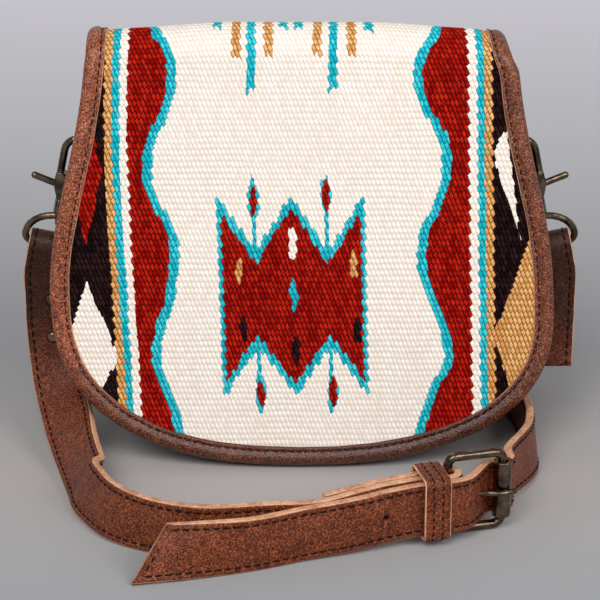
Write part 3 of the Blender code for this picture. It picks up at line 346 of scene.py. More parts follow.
def woven_wool():
    g = Graph("woven_wool", Roughness=0.95, Specular_IOR_Level=0.06)
    x, s, _ = g.axes(g.node("UVMap", uv_map="flat").outputs[0])

    # Yarns run up the flap, over one cord and under the next, so the beads lie like bricks and
    # nest in each other. The colours' edges follow the beads for the most part, so they scallop.
    wander = g.noise(16 * MM, 2.0) - 0.5
    skewed = x + (s - LEVEL) * SKEW + wander * 1.2
    rise = (s + (g.noise(30 * MM, 2.0) - 0.5) * 2.4) / RIB
    nested = rise - (skewed * (2.0 * pi / BEAD)).do("COSINE") * (rise * pi).do("COSINE") * NEST
    row = nested.do("FLOOR")
    up = nested.do("FRACT")
    brick = (row * 0.5).do("FRACT")
    place = (skewed + (up - 0.5) * (SLANT * RIB)) / BEAD + brick
    bead = place.do("FLOOR")
    jitter = g.white(bead, row)
    shade = g.white(row, bead)
    stepped_x, stepped_s = STEPPED
    u = (bead + 0.5 - brick) * (BEAD * stepped_x) + skewed * (1.0 - stepped_x)
    v = (row + 0.5) * (RIB * stepped_s) + s * (1.0 - stepped_s) + (jitter - 0.5) * 1.6
    at_x = u - (v - LEVEL) * SKEW
    round_up = (up * pi).do("SINE").do("POWER", 0.5)
    crest = (place + (up - 0.5) * LEANING).do("FRACT")
    height = (crest * pi).do("SINE").do("POWER", 0.8) * 0.8 * round_up + round_up * 0.2

    slub = g.noise(20 * MM, 3.0, 0.6, g.stretched((3.0, 1.0, 0.6)))
    strand = g.noise(0.42 * MM, 2.0, 0.6, g.stretched((1.0, 1.0, 0.3)))
    lift = ((shade - 0.5) * 0.7 + (slub - 0.5) * 0.9 + (strand - 0.5) * 1.6 + 0.5).smooth(0.05, 0.95)
    # Painted shade: dip darkens the gaps between the beads toward each yarn's gap colour
    dip = (height + (strand - 0.5) * 0.35).smooth(0.12, 0.92)

    def wool(gap_shade_colour, low, high):
        return g.mix(dip, gap_shade_colour, g.mix(lift, low, high))

    # For each yarn: the painted shade of its gaps, then its colours from low to high
    yarn = {"cream": wool((240, 221, 204), (247, 235, 222), (255, 251, 245)),
            "red": wool((66, 0, 0), (136, 7, 4), (198, 36, 19)),
            "teal": wool((0, 122, 142), (2, 176, 192), (74, 220, 230)),
            "ochre": wool((140, 88, 42), (214, 150, 84), (246, 192, 126)),
            "black": wool((3, 1, 1), (16, 6, 7), (50, 28, 30))}

    colour = yarn["cream"]

    def paint(mask, name):
        nonlocal colour
        colour = g.mix(mask, colour, yarn[name])

    level = (v - DRAWN_FROM) / DRAWN_SPAN

    def drawn(points, low, high):
        return g.curve(level, [((p - DRAWN_FROM) / DRAWN_SPAN, e) for p, e in points], low, high)

    def oval(centre, half, middle, rise):
        """0 at the centre of an oval, 1 along its edge."""
        return ((u - centre) / half).do("POWER", 2.0) + ((v - middle) / rise).do("POWER", 2.0)

    # Side bands: zigzag edge toward the middle, straight stripes outside it
    left_edge = drawn(ZIG_LEFT, -80.0, -40.0)
    right_edge = drawn(ZIG_RIGHT, 40.0, 80.0)
    paint(at_x.under(left_edge), "teal")
    paint(at_x.under(left_edge - OUTLINE), "red")
    outer = u - drawn(BEND_LEFT, -4.0, 4.0)
    for edge, name in STRIPES_LEFT:
        paint(outer.under(edge), name)
    paint(at_x.over(right_edge), "teal")
    paint(at_x.over(right_edge + OUTLINE), "red")
    for edge, name in STRIPES_RIGHT:
        paint(u.over(edge), name)

    # Figures in the bands' dark fields: a red wedge and a cream diamond at the left, a cream and an
    # ochre one at the right
    from_red = (v - 148.0).do("ABSOLUTE") * 0.22
    red_foot = (-102.0 - at_x).do("MAXIMUM", 0.0) * 4.8 + 110.0
    paint(at_x.under(-94.0 - from_red) * v.over(red_foot), "red")
    tall = (v - 56.0).do("MAXIMUM", 0.0) / 37.0 + (56.0 - v).do("MAXIMUM", 0.0) / 25.0
    paint(((at_x + 102.0).do("ABSOLUTE") / 14.0 + tall).under(1.0), "cream")
    slopes = (v - 157.0).do("MAXIMUM", 0.0) * 0.54 + (157.0 - v).do("MAXIMUM", 0.0) * 0.33
    paint(at_x.over(slopes + 91.0) * at_x.under((168.0 - v) * 0.14 + 97.5), "cream")
    paint(at_x.over((v - 67.0).do("ABSOLUTE") * 0.34 + 93.0), "ochre")

    # The bars' ends are forked
    for middle, end, name in BARS:
        fork = (BAR_HALF - (at_x - middle).do("ABSOLUTE")) * 1.6 + end
        paint(at_x.between(middle - BAR_HALF, middle + BAR_HALF) * v.over(fork), name)

    # The middle figure: a crowned band, outlined, with stems, buds and small marks
    aside = (u + 4.0).do("ABSOLUTE")
    wave = 1.0 - ((aside / 17.3) - 1.0).do("ABSOLUTE")
    top = 135.5 - wave * 26.5
    foot = wave * 25.0 + 37.0
    paint(aside.under(35.2) * v.under(top) * v.over(foot), "teal")
    paint(aside.under(33.4) * v.under(top - 6.0) * v.over(foot + 6.0), "red")
    for centre in STEMS:
        stem = (skewed - centre + (s * (pi / RIB)).do("SINE") * 0.25).do("ABSOLUTE").under(0.95)
        paint(stem * (v.between(109.0, 145.0) + v.between(28.0, 62.0)), "teal")
    for centre, middle in BUDS:
        for half, rise, name in ((2.6, 8.6, "teal"), (1.8, 7.0, "red")):
            paint(oval(centre, half, middle, rise).under(1.0), name)
    for centre, half, middle, rise, name in MARKS:
        paint(oval(centre, half, middle, rise).under(1.1), name)

    return g.finish(colour, None, height * 0.85 + strand * 0.2, 0.5 * MM, 0.9)


WOOL = woven_wool()

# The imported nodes' materials. The metal parts are shown as packed; the hide parts get new meshes below.
for node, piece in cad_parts.items():
    finish = BRASS
    if node.startswith(("snap_", "gate_pin")):
        finish = STEEL
    elif node.startswith(("strap", "flap", "front", "back", "gusset", "ring_tab")):
        finish = HIDE
    piece.data.materials.clear()
    piece.data.materials.append(finish)

# Meshes


def piece_of(mesh, body, finishes, nodes=()):
    """A piece, named as its mesh, that rides `body` and takes the place of `nodes`."""
    for finish in finishes:
        mesh.materials.append(finish)
    mesh.shade_smooth()
    made = added(mesh.name, mesh)
    if nodes:
        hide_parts(*nodes)
    if body:
        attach(made, body)
    return made


def open_mesh(name, places, faces):
    mesh = bpy.data.meshes.new(name)
    mesh.from_pydata(places, [], faces)
    return mesh


def mesh_of(name, places, faces, picks=None):
    """A mesh whose closed bodies face outward. `picks` gives each face its material."""
    mesh = open_mesh(name, places, faces)
    if picks:
        mesh.polygons.foreach_set("material_index", picks)
    shape = bmesh.new()
    shape.from_mesh(mesh)
    bmesh.ops.recalc_face_normals(shape, faces=shape.faces)
    shape.to_mesh(mesh)
    shape.free()
    return mesh


def tube(n, rows, first=0, closed=False):
    """The faces over `rows` rings of `n` points, numbered from `first`, with caps unless it is closed."""
    faces = []
    for i in range(rows if closed else rows - 1):
        low, high = first + i * n, first + (i + 1) % rows * n
        faces += [(low + k, low + (k + 1) % n, high + (k + 1) % n, high + k) for k in range(n)]
    if not closed:
        faces += [tuple(range(end, end + n)) for end in (first, first + (rows - 1) * n)]
    return faces


def skin(name, rings, edges=(), closed=False):
    """A skin over rings of points. The sides in `edges` and the caps are raw edge."""
    n = len(rings[0])
    faces = tube(n, len(rings), closed=closed)
    sides = len(faces) if closed else len(faces) - 2
    picks = [1 if i >= sides or i % n in edges else 0 for i in range(len(faces))]
    return mesh_of(name, [p for ring in rings for p in ring], faces, picks)


def sweep(name, stations, section, edges=(), closed=False):
    """A section carried along stations of (centre, across, out)."""
    rings = [[centre + across * a + out * o for a, o in section] for centre, across, out in stations]
    return skin(name, rings, edges, closed)


def strap_section(width, thick, groove=0.12 * MM, dip=0.3 * MM, stitch_in=3.0 * MM):
    """A flat strap's outline as (across, out), with soft arrises and its stitched channels pressed in,
    and the numbers of its raw sides.
    """
    w, t = width / 2, thick / 2
    line = w - stitch_in
    channel = 1.1 * MM
    face = [(-w + 0.5 * MM, t - 0.10 * MM), (-line - channel, t), (-line, t - dip), (-line + channel, t)]
    face += [(0.0, t + 0.06 * MM)] + [(-a, o) for a, o in reversed(face)]
    edge = [(w - 0.08 * MM, t - 0.55 * MM), (w, t * 0.4), (w - groove, 0.0), (w, -t * 0.4),
            (w - 0.08 * MM, -t + 0.55 * MM)]
    whole = face + edge + [(-a, -o) for a, o in face] + [(-a, -o) for a, o in edge]
    sides = [*range(8, 14), *range(22, 28)]
    return whole, sides


def spline(stations, step):
    """A smooth curve through the stations, each a tuple of vectors, sampled about every `step`.

    The first vector of each is its place, and the others follow it.
    """
    found = []
    last = len(stations) - 1
    for i in range(last):
        before = stations[max(i - 1, 0)]
        after = stations[min(i + 2, last)]
        here, there = stations[i], stations[i + 1]
        run = max((there[0] - here[0]).length, 1e-9)
        back = max((here[0] - before[0]).length, 1e-9)
        ahead = max((after[0] - there[0]).length, 1e-9)
        count = max(1, round(run / step))
        for k in range(count):
            t = k / count
            sample = []
            for p0, p1, p2, p3 in zip(before, here, there, after):
                slope1 = slope2 = p2 - p1
                if i > 0:
                    slope1 = ((p2 - p1) / run * back + (p1 - p0) / back * run) * (run / (run + back))
                if i + 1 < last:
                    slope2 = ((p3 - p2) / ahead * run + (p2 - p1) / run * ahead) * (run / (run + ahead))
                sample.append((2 * t**3 - 3 * t**2 + 1) * p1 + (t**3 - 2 * t**2 + t) * slope1
                              + (3 * t**2 - 2 * t**3) * p2 + (t**3 - t**2) * slope2)
            found.append(tuple(sample))
    found.append(tuple(stations[-1]))
    return found


def heading(points, i):
    """The direction of a line at its point number `i`."""
    return (points[min(i + 1, len(points) - 1)] - points[max(i - 1, 0)]).normalized()


def turned_frames(stations, step):
    """Frames of (centre, across, out) along a curve through stations of (centre, across)."""
    curve = spline(stations, step)
    centres = [centre for centre, _ in curve]
    found = []
    for i, (centre, across) in enumerate(curve):
        flat = across.normalized()
        found.append((centre, flat, heading(centres, i).cross(flat).normalized()))
    return found


# A stitch's rings: (along it in lengths, size in radii, height over the leather in radii)
STITCH = ((-0.5, 0.35, -0.55), (-0.27, 0.95, 0.15), (0.0, 1.0, 0.32), (0.27, 0.95, 0.15),
          (0.5, 0.35, -0.55))
STITCH_SIDES = 6
STITCH_SWAY = 0.16 * MM
SWAY_TURN = 4100.0  # radians for each metre of seam


def stitched(name, seams, body, pitch=4.5 * MM, length=3.4 * MM, radius=0.45 * MM):
    """Rows of stitches. A seam is a list of (point on the leather, direction out of it)."""
    places, faces = [], []
    sides = STITCH_SIDES
    for seam in seams:
        due = pitch * 0.5
        walked = 0.0
        for (here, out), (there, _) in zip(seam, seam[1:]):
            run = (there - here).length
            while run > 1e-9 and due <= walked + run:
                centre = here + (there - here) * ((due - walked) / run)
                ahead = (there - here).normalized()
                side = out.cross(ahead).normalized()
                rise = ahead.cross(side)
                sway = side * (STITCH_SWAY * sin(due * SWAY_TURN))
                first = len(places)
                for along, swell, proud in STITCH:
                    middle = centre + ahead * (along * length) + rise * (proud * radius)
                    middle += sway * (along * 2.0)
                    for k in range(sides):
                        a = 2 * pi * k / sides
                        places.append(middle + (side * cos(a) + rise * sin(a)) * (radius * swell))
                faces += tube(sides, len(STITCH), first)
                due += pitch
            walked += run
    piece_of(mesh_of(name, places, faces), body, [THREAD])


def grid(name, rows):
    """A sheet through rows of points."""
    places = [p for row in rows for p in row]
    n = len(rows[0])
    faces = []
    for i in range(len(rows) - 1):
        for k in range(n - 1):
            faces.append((i * n + k, i * n + k + 1, (i + 1) * n + k + 1, (i + 1) * n + k))
    return open_mesh(name, places, faces)


def thicken(piece, thickness, inner=1, rim=2):
    """Gives a sheet its thickness inward. `inner` and `rim` are the materials there."""
    step = piece.modifiers.new("thickness", "SOLIDIFY")
    step.thickness = thickness
    step.offset = -1.0
    step.use_even_offset = True
    step.material_offset = inner
    step.material_offset_rim = rim


def share(low, high, value):
    """0 below `low`, 1 above `high`."""
    t = min(max((value - low) / (high - low), 0.0), 1.0)
    return t * t * (3.0 - 2.0 * t)


def half_outline(shares, half_width, height, top_z, step=3.0 * MM):
    """The right half of a bag outline in X and Z, from the middle of the base to the top edge."""
    stations = [(Vector((a * half_width, 0.0, b * height)),) for a, b in shares]
    line = [Vector((p[0].x, 0.0, max(p[0].z, 0.0))) for p in spline(stations, step)]
    return line + [Vector((shares[-1][0] * half_width, 0.0, top_z))]


def mirrored(half, shared=0):
    """A whole line from its right half, whose first `shared` points lie on the centre line."""
    return [Vector((-p.x, 0.0, p.z)) for p in reversed(half[shared:])] + half


def inset(points, distance):
    """The half outline moved inward. Its first point stays on the centre line."""
    moved = []
    for i, p in enumerate(points):
        run = X if i == 0 else heading(points, i)
        run = Z if i == len(points) - 1 else run
        moved.append(p + Vector((-run.z, 0.0, run.x)) * distance)
    return moved


# Flap: a plane that leans back from the hem, the fold over the mouth and a short drop to the back
# seam. Places on it are x, and s along it from the hem.

FLAP_HALF_W = 120.0 * MM
FOLD_R = 16.0 * MM
FOLD_AT = Vector((0.0, 0.5 * MM, 196.5 * MM))
HEM_Y = -43.6 * MM
LEAN = atan2(FOLD_AT.y - FOLD_R - HEM_Y, FOLD_AT.z)
PLANE_END = FOLD_AT + Vector((0.0, -cos(LEAN), sin(LEAN))) * FOLD_R
UP_FLAP = (PLANE_END - Vector((0.0, HEM_Y, 0.0))).normalized()
PLANE_L = (PLANE_END - Vector((0.0, HEM_Y, 0.0))).length
ARC_L = FOLD_R * (pi - LEAN)
FLAP_L = PLANE_L + ARC_L + 2.8 * MM
FLAP_H = 201.9 * MM
FLAP_SHARES = ((0.0, 0.0), (0.19, 0.004), (0.415, 0.022), (0.625, 0.063), (0.797, 0.127), (0.915, 0.205),
               (0.98, 0.3), (1.0, 0.398), (0.998, 0.475), (0.975, 0.575), (0.938, 0.675), (0.892, 0.79),
               (0.86, 0.89), (0.838, 1.0))
FLAP_LIFT = 1.6 * MM


def sagged(x, z):
    """The fold's height at x, where the flat fold would be at z: it sags toward its ends."""
    at_end = 2.4 * MM if x < 0 else 7.0 * MM
    sag = 3.2 * MM * share(30 * MM, 86 * MM, abs(x))
    sag += at_end * share(81 * MM, 106 * MM, abs(x))
    base = FOLD_AT.z - 2.8 * MM
    return z - max(z - base, 0.0) / (FOLD_AT.z + FOLD_R - base) * sag


def flap_frame(x, s):
    """The point of the flap's outer face, and its normal."""
    if s <= PLANE_L:
        place = Vector((x, HEM_Y, 0.0)) + UP_FLAP * s
        normal = Vector((0.0, -UP_FLAP.z, UP_FLAP.y))
    else:
        a = max(pi - LEAN - (s - PLANE_L) / FOLD_R, 0.0)
        normal = Vector((0.0, cos(a), sin(a)))
        place = FOLD_AT + normal * FOLD_R
        place.x = x
        place.z -= max(s - PLANE_L - ARC_L, 0.0)
    place.z = sagged(x, place.z)
    return place, normal


def on_flap(x, s, out):
    """The point `out` above the flap's outer face."""
    place, normal = flap_frame(x, s)
    return place + normal * out


# Half the flap's outline in (x, s): laid along the plane, then straight over the fold
half = half_outline(FLAP_SHARES, FLAP_HALF_W, FLAP_H, FLAP_H, 2.5 * MM)[:-1]
flap_line = [(p.x, (p.z + FLAP_LIFT) / UP_FLAP.z) for p in half]
reach = flap_line[-1]
flap_line += [(reach[0], reach[1] + (FLAP_L - reach[1]) * i / 20) for i in range(1, 21)]


def fuller(s):
    """How much farther the flap reaches on its right: fuller below, narrower over the fold."""
    below = 4.5 * MM * share(2 * MM, 25 * MM, s) * (1.0 - 0.7 * share(45 * MM, 100 * MM, s))
    return below - 4.0 * MM * share(190 * MM, 224 * MM, s)


def flap_half_width(s):
    """How far the flap reaches to each side at the height s."""
    for (x0, s0), (x1, s1) in zip(flap_line, flap_line[1:]):
        if s1 >= s:
            return x0 + (x1 - x0) * (s - s0) / max(s1 - s0, 1e-9) if s >= s0 else -1.0
    return flap_line[-1][0]


def flap_layer(name, out, spacing_x, spacing_s, rim_in, ribbed=False):
    """A grid over the flap that stops `rim_in` from its edge, kept under the binding.

    `ribbed` gives it the weave's ribs and slant. Its UV map is the flap laid flat, in millimetres.
    """
    columns = int(2 * FLAP_HALF_W / spacing_x) + 1
    rows = int(FLAP_L / spacing_s)
    numbers, places, flat, faces = {}, [], [], []
    widths = [flap_half_width(j * FLAP_L / rows) - rim_in for j in range(rows + 1)]
    for j in range(rows + 1):
        s = j * FLAP_L / rows
        if s < FLAP_LIFT + rim_in * 0.6:
            continue
        for i in range(columns):
            u = (i - (columns - 1) / 2) * spacing_x
            x = u - (s - LEVEL * MM) * SKEW if ribbed else u
            if -x > widths[j] or x > widths[j] + fuller(s):
                continue
            proud = out
            if ribbed:
                proud += 0.09 * MM * cos(2 * pi * (s / (RIB * MM) - 0.5))
                proud += 0.35 * MM * noise.noise(Vector((x, s, 0.0)) * 30.0)
            numbers[i, j] = len(places)
            places.append(on_flap(x, s, proud))
            flat.append((x / MM, s / MM))
    for (i, j), n in numbers.items():
        ring = [n, numbers.get((i + 1, j)), numbers.get((i + 1, j + 1)), numbers.get((i, j + 1))]
        if None not in ring:
            faces.append(ring)
    mesh = open_mesh(name, places, faces)
    layer = mesh.uv_layers.new(name="flat")
    for loop in mesh.loops:
        layer.data[loop.index].uv = flat[loop.vertex_index]
    return mesh


weave_mesh = flap_layer("flap_weave", -0.2 * MM, 3.0 * MM, 0.72 * MM, 2.6 * MM, True)
weave = piece_of(weave_mesh, "flap", [WOOL, SUEDE], ["flap_panel"])
laid_flat = weave_mesh.uv_layers["flat"].data
cut = [[laid_flat[k].uv * MM for k in face.loop_indices] for face in weave_mesh.polygons]
cut_area = sum(abs((a - c).cross(b - d)) / 2 for a, b, c, d in cut)
across = [p.x for face in cut for p in face]
max(across) - min(across)
thicken(weave, 1.2 * MM, 1, 1)
lining = flap_layer("flap_lining", -1.9 * MM, 6.0 * MM, 4.0 * MM, 3.0 * MM)
thicken(piece_of(lining, "flap", [SUEDE]), 1.4 * MM, 0, 0)

# The flap's edge in (x, s), down its left side and up its right side
edge_line = [Vector((-x, s)) for x, s in reversed(flap_line[1:])]
edge_line += [Vector((x + fuller(s), s)) for x, s in flap_line]


def inward(i):
    """The direction to the flap's middle from point number `i` of its edge."""
    run = heading(edge_line, i)
    return Vector((-run.y, run.x))


# The binding's section, in millimetres: (in from the flap's edge, out of its face)
BINDING = [(9.45, 0.2), (9.1, 1.1), (8.6, 1.3), (7.9, 1.2), (7.3, 0.75), (6.6, 1.3), (5.3, 2.1),
           (3.8, 2.4), (2.3, 2.15), (1.0, 1.45), (0.25, 0.4), (0.0, -1.0), (0.0, -2.4), (0.3, -3.7),
           (1.1, -4.5), (2.4, -4.8), (4.8, -4.85), (6.7, -4.6), (7.3, -4.25), (7.9, -4.55), (9.1, -4.4),
           (9.3, -3.5)]
BINDING_SEAM = 7.3 * MM  # in from the edge, in the section's two channels
SEAM_OUT = {1.0: 0.85 * MM, -1.0: -4.3 * MM}  # by face, the outer one and the inner one
rings = []
for i, p in enumerate(edge_line):
    to_middle = inward(i)
    swell = 1.0 + 0.16 * noise.noise(Vector((p.x, p.y, 3.0)) * 45.0)
    ring = []
    for d, out in BINDING:
        wobble = 0.35 * noise.noise(Vector((p.x, p.y, 7.0)) * 60.0) if d > 9.0 else 0.0
        spot = p + to_middle * ((d + wobble) * MM)
        puff = out * swell if out > 0.5 else out
        ring.append(on_flap(spot.x, spot.y, puff * MM))
    rings.append(ring)
binding = skin("flap_edge_binding", rings, (0, len(BINDING) - 1))
piece_of(binding, "flap", [FLAP_HIDE, LOW_DARKENED_EDGE], ["flap_binding"])

seams = []
for side in (1.0, -1.0):
    seam = []
    for i, p in enumerate(edge_line):
        spot = p + inward(i) * BINDING_SEAM
        place, normal = flap_frame(spot.x, spot.y)
        seam.append((place + normal * SEAM_OUT[side], normal * side))
    seams.append(seam)
stitched("flap_stitches", seams, "flap", 3.9 * MM, 2.9 * MM, 0.38 * MM)

# Body: front and back panels and the gusset between them. The sides' depth shrinks toward the mouth.

BODY_HALF_W = 98.5 * MM
MOUTH_Z = 186.0 * MM
BACK_TOP_Z = 192.0 * MM
BODY_SHARES = ((0.0, 0.0), (0.16, 0.0), (0.31, 0.0), (0.53, 0.027), (0.73, 0.083), (0.88, 0.156),
               (0.965, 0.242), (0.995, 0.355), (1.0, 0.51), (1.0, 0.672), (1.0, 0.806), (1.0, 0.925))
PANEL_T = 2.0 * MM
GUSSET_T = 1.8 * MM
PANEL_SEAM = 3.2 * MM  # in from the panel's edge
GUSSET_SEAM = 2.4 * MM
BASE_HALF_D = 36.0 * MM
FRONT_LEAN = 25.0 * MM
BACK_LEAN = 23.4 * MM
body_half = half_outline(BODY_SHARES, BODY_HALF_W, MOUTH_Z, MOUTH_Z)


def front_y(z):
    return -BASE_HALF_D + FRONT_LEAN * z / BACK_TOP_Z


def back_y(z):
    return BASE_HALF_D - BACK_LEAN * z / BACK_TOP_Z


def panel(name, face_y, outward, top_z, crown, node):
    """A panel with a slight crown. Its stitching runs along the sides and base."""
    half = inset(body_half, GUSSET_T + 0.3 * MM)
    half[-1] = Vector((half[-1].x, 0.0, top_z))
    base_z = half[1].z
    on_base = [p for p in half if p.z <= base_z + 0.05 * MM]
    line = [Vector((max(p.x for p in on_base), 0.0, base_z))]
    line += [p for p in half[1:] if p.z > base_z + 0.05 * MM]

    def face(x, z, half_w):
        lean = 1.0 - (x / half_w) ** 4
        swell = crown * lean * sin(pi * min(max(z / (top_z * 1.15), 0.0), 1.0))
        swell += 0.5 * MM * noise.noise(Vector((x, z, 5.0)) * 28.0) * lean * (crown > 1 * MM)
        return Vector((x, face_y(z) + outward * swell, z))

    rows = [[face(p.x * (k / 20 - 1.0), p.z, p.x) for k in range(41)] for p in line]
    mesh = grid(name, rows[::-1] if outward > 0 else rows)
    thicken(piece_of(mesh, "bag", [BODY_HIDE, SUEDE, RAW], [node]), PANEL_T)
    seam = []
    for p in mirrored(inset(line, PANEL_SEAM)):
        half_w = max(abs(p.x) + PANEL_SEAM, 20 * MM)
        seam.append((face(p.x, p.z, half_w), Y * outward))
    return seam


front_seam = panel("front_hide", front_y, -1.0, MOUTH_Z, 0.1 * MM, "front_panel")
back_seam = panel("back_hide", back_y, 1.0, BACK_TOP_Z, 2.2 * MM, "back_panel")

# The gusset's sides fold inward above the base, and lie flat again under the ring tabs
GUSSET_FOLD = 4.0 * MM
FLAT_RIM = 3.4 * MM
rows = []
gusset_seams = [[], []]
for p in mirrored(body_half, 1):
    near, far = front_y(p.z), back_y(p.z)
    fold = GUSSET_FOLD * share(70 * MM, 120 * MM, p.z) * (1.0 - share(158 * MM, 167 * MM, p.z))
    row = []
    for k in range(21):
        t = k / 20
        y = near + (far - near) * t
        depth = (min(t, 1.0 - t) * (far - near) - FLAT_RIM) / ((far - near) / 2 - FLAT_RIM)
        depth = min(max(depth, 0.0), 1.0)
        pinch = fold * depth ** 1.3
        ripple = 0.35 * MM * noise.noise(Vector((p.x, y, p.z)) * 36.0)
        ripple *= min(depth * 3, 1.0) * (p.z > 12 * MM)
        row.append(Vector((p.x - copysign(max(pinch + ripple, 0.0), p.x), y, p.z)))
    rows.append(row)
    out = X * copysign(1.0, p.x)
    if p.z <= 30 * MM:
        out = Vector((p.x * 4, 0.0, -0.5)).normalized()
    if p.z > 6 * MM:
        gusset_seams[0].append((Vector((p.x, near + GUSSET_SEAM, p.z)), out))
        gusset_seams[1].append((Vector((p.x, far - GUSSET_SEAM, p.z)), out))
gusset = piece_of(grid("gusset_hide", rows), "bag", [BODY_HIDE, SUEDE, RAW], ["gusset"])
thicken(gusset, GUSSET_T)
halves = [[s for s in seam if s[0].x * side > 0] for seam in gusset_seams for side in (-1.0, 1.0)]
stitched("body_stitches", [front_seam, back_seam, *halves], "bag")

# Back strip that holds the flap, and the ring tabs

STRIP_SEAMS = (172.5 * MM, 188.5 * MM)  # their heights
strip_half = 0.82 * FLAP_HALF_W - 1.5 * MM
strip_top, strip_low = 193.3 * MM, 169.3 * MM
top_y, low_y = 16.45 * MM, back_y(strip_low) + 2.9 * MM
profile = [(back_y(strip_top) + 0.3 * MM, strip_top), (16.3 * MM, strip_top), (top_y, strip_top - 1.0 * MM)]
for i in range(1, 9):
    t = i / 9
    z = strip_top - 1.0 * MM - (strip_top - 1.0 * MM - strip_low) * t
    profile.append((top_y + (low_y - top_y) * t, z))
profile += [(low_y - 0.25 * MM, strip_low + 0.35 * MM), (low_y - 0.9 * MM, strip_low),
            (back_y(strip_low) + 0.3 * MM, strip_low)]
stations = [(X * (-strip_half + 2 * strip_half * i / 60), Y, Z) for i in range(61)]
strip = sweep("flap_strip", stations, profile, edges=(11, 12, 13))
piece_of(strip, "bag", [BODY_HIDE, RAW], ["flap_back_strip"])
strip_seams = []
for z in STRIP_SEAMS:
    t = (strip_top - z) / (strip_top - strip_low)
    y = top_y + (low_y - top_y) * t
    strip_seams.append([(Vector((x * MM, y, z)), Y) for x in range(-94, 95, 2)])
stitched("strip_stitches", strip_seams, "bag")

# The lining runs on from the back panel's inner face to the flap, across the seam that it hinges on
HINGE_PATH = ((11.1, 181.0), (10.7, 185.5), (10.35, 189.5), (10.2, 192.0), (10.9, 194.4), (11.8, 196.8),
              (11.9, 199.0))
HINGE_T = 0.8 * MM
outer = [p[0] for p in spline([(Vector((y, z, 0.0)) * MM,) for y, z in HINGE_PATH], 0.7 * MM)]
profile = [(p.x, p.y) for p in outer] + [(p.x - HINGE_T, p.y) for p in reversed(outer)]
hinge_mesh = sweep("hinge_lining", [(X * (k * 5.0 * MM), Y, Z) for k in range(-18, 19)], profile)
for point in hinge_mesh.vertices:
    point.co.z = sagged(point.co.x, point.co.z)
hinge = piece_of(hinge_mesh, None, [SUEDE, RAW])
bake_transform(hinge)

TAB_W = 16.0 * MM
TAB_T = 1.6 * MM
TAB_BEND = 2.7 * MM  # round the ring's bar
TAB_SEAM = 5.8 * MM  # from the tab's middle
RING_BAR = Vector((102.3 * MM, 0.0, 164.359 * MM))
for sign, label in ((-1.0, "left"), (1.0, "right")):
    wall = RING_BAR.x - 3.5 * MM
    line = [(wall + 0.8 * MM, RING_BAR.z + 22 * MM), (wall + 0.8 * MM, RING_BAR.z + 11 * MM)]
    bend = [radians(a) for a in range(180, 421, 20)]
    line += [(RING_BAR.x + TAB_BEND * cos(a), RING_BAR.z + TAB_BEND * sin(a)) for a in bend]
    line += [(wall + 2.75 * MM, RING_BAR.z + 6.5 * MM), (wall + 2.45 * MM, RING_BAR.z + 12 * MM),
             (wall + 2.42 * MM, RING_BAR.z + 22 * MM)]
    stations = turned_frames([(Vector((sign * x, 0.0, z)), Y) for x, z in line], 0.8 * MM)
    section, edges = strap_section(TAB_W, TAB_T, 0.0, 0.08 * MM, 2.2 * MM)
    tab = sweep(f"ring_tab_hide_{label}", stations, section, edges)
    piece_of(tab, "bag", [HIDE, RAW], [f"ring_tab_{label}"])
    seam_x = sign * (wall + 3.25 * MM)
    outside = [Vector((seam_x, 0.0, RING_BAR.z + h * MM)) for h in (7, 9, 12, 15, 18, 20.5)]
    tab_seams = [[(p + Y * (side * TAB_SEAM), X * sign) for p in outside] for side in (-1.0, 1.0)]
    tab_seams.append([(outside[-1] + Y * (y * MM), X * sign) for y in range(-6, 7)])
    stitched(f"tab_stitches_{label}", tab_seams, "bag", 3.6 * MM, 2.6 * MM, 0.36 * MM)

# Straps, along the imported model's stations apart from the kink in the short one

STRAP_W = 26.0 * MM
STRAP_T = 4.0 * MM
STITCH_IN = 3.0 * MM
STRAP_SEAM = STRAP_W / 2 - STITCH_IN
STITCH_OUT = STRAP_T / 2 - 0.1 * MM
PLY_GAP = 0.4 * MM
FIT = 0.3 * MM
FOLD_TAPER = 14.0 * MM
TIP_SLANT = 8.7 * MM
TIP_SEAM = 3.2 * MM
HOOK_TILT = radians(12.0)
BARREL = Vector((115.5, 0.0, 121.0)) * MM
EYE_R = 15.6 * MM
EYE_TOP = -5.6 * MM
LAYER = (STRAP_T + PLY_GAP) / 2
EYE_FOLD_R = 1.8 * MM + 3 * FIT + STRAP_T / 2
HEEL_FOLD_R = 2.2 * MM + 2 * FIT + STRAP_T / 2
STRAP_SINK = 1.4 * MM
BUCKLE_AT = Vector((80.2, -108.4, 20.9)) * MM
BUCKLE_TURN = radians(15.0)
BUCKLE_L = 26.6 * MM
ROLLER_R = 4.3 * MM


def route(rows, side=0.0):
    """Stations from rows of x, y, z in millimetres and the strap's direction across, or else upright.

    With a `side`, x is how far they are past the body there.
    """
    found = []
    for x, y, z, *across in rows:
        place = Vector((side * (BODY_HALF_W + x * MM) if side else x * MM, y * MM, z * MM))
        found.append((place, Vector(across) if across else Z))
    return found


def hook_frame(side):
    """Local X outward, local Z up the hook's own axis, origin at the swivel barrel."""
    outward = Vector((side * cos(HOOK_TILT), 0.0, sin(HOOK_TILT)))
    upward = Vector((-side * sin(HOOK_TILT), 0.0, cos(HOOK_TILT)))
    turn = Matrix((outward, Y, upward)).transposed().to_4x4()
    return Matrix.Translation((side * BARREL.x, BARREL.y, BARREL.z)) @ turn


def fold_round(bar, away, onward, outward, across, level, radius, taper):
    """Stations round a bar, from the layer on the `outward` side to the layer on the other side."""
    closing = LAYER + (radius - LAYER) * 0.62
    leg = [(bar + away * taper + onward * (taper * 1.3), LAYER, level),
           (bar + away * taper + onward * (taper * 0.6), LAYER, level),
           (bar + away * taper, LAYER + 0.35 * MM, across),
           (bar + away * (taper * 0.5), closing, across)]
    found = [(centre + outward * n, turn) for centre, n, turn in leg]
    for i in range(9):
        a = radians(180.0 * i / 8)
        found.append((bar - away * (radius * sin(a)) + outward * (radius * cos(a)), across))
    return found + [(centre - outward * n, turn) for centre, n, turn in reversed(leg)]


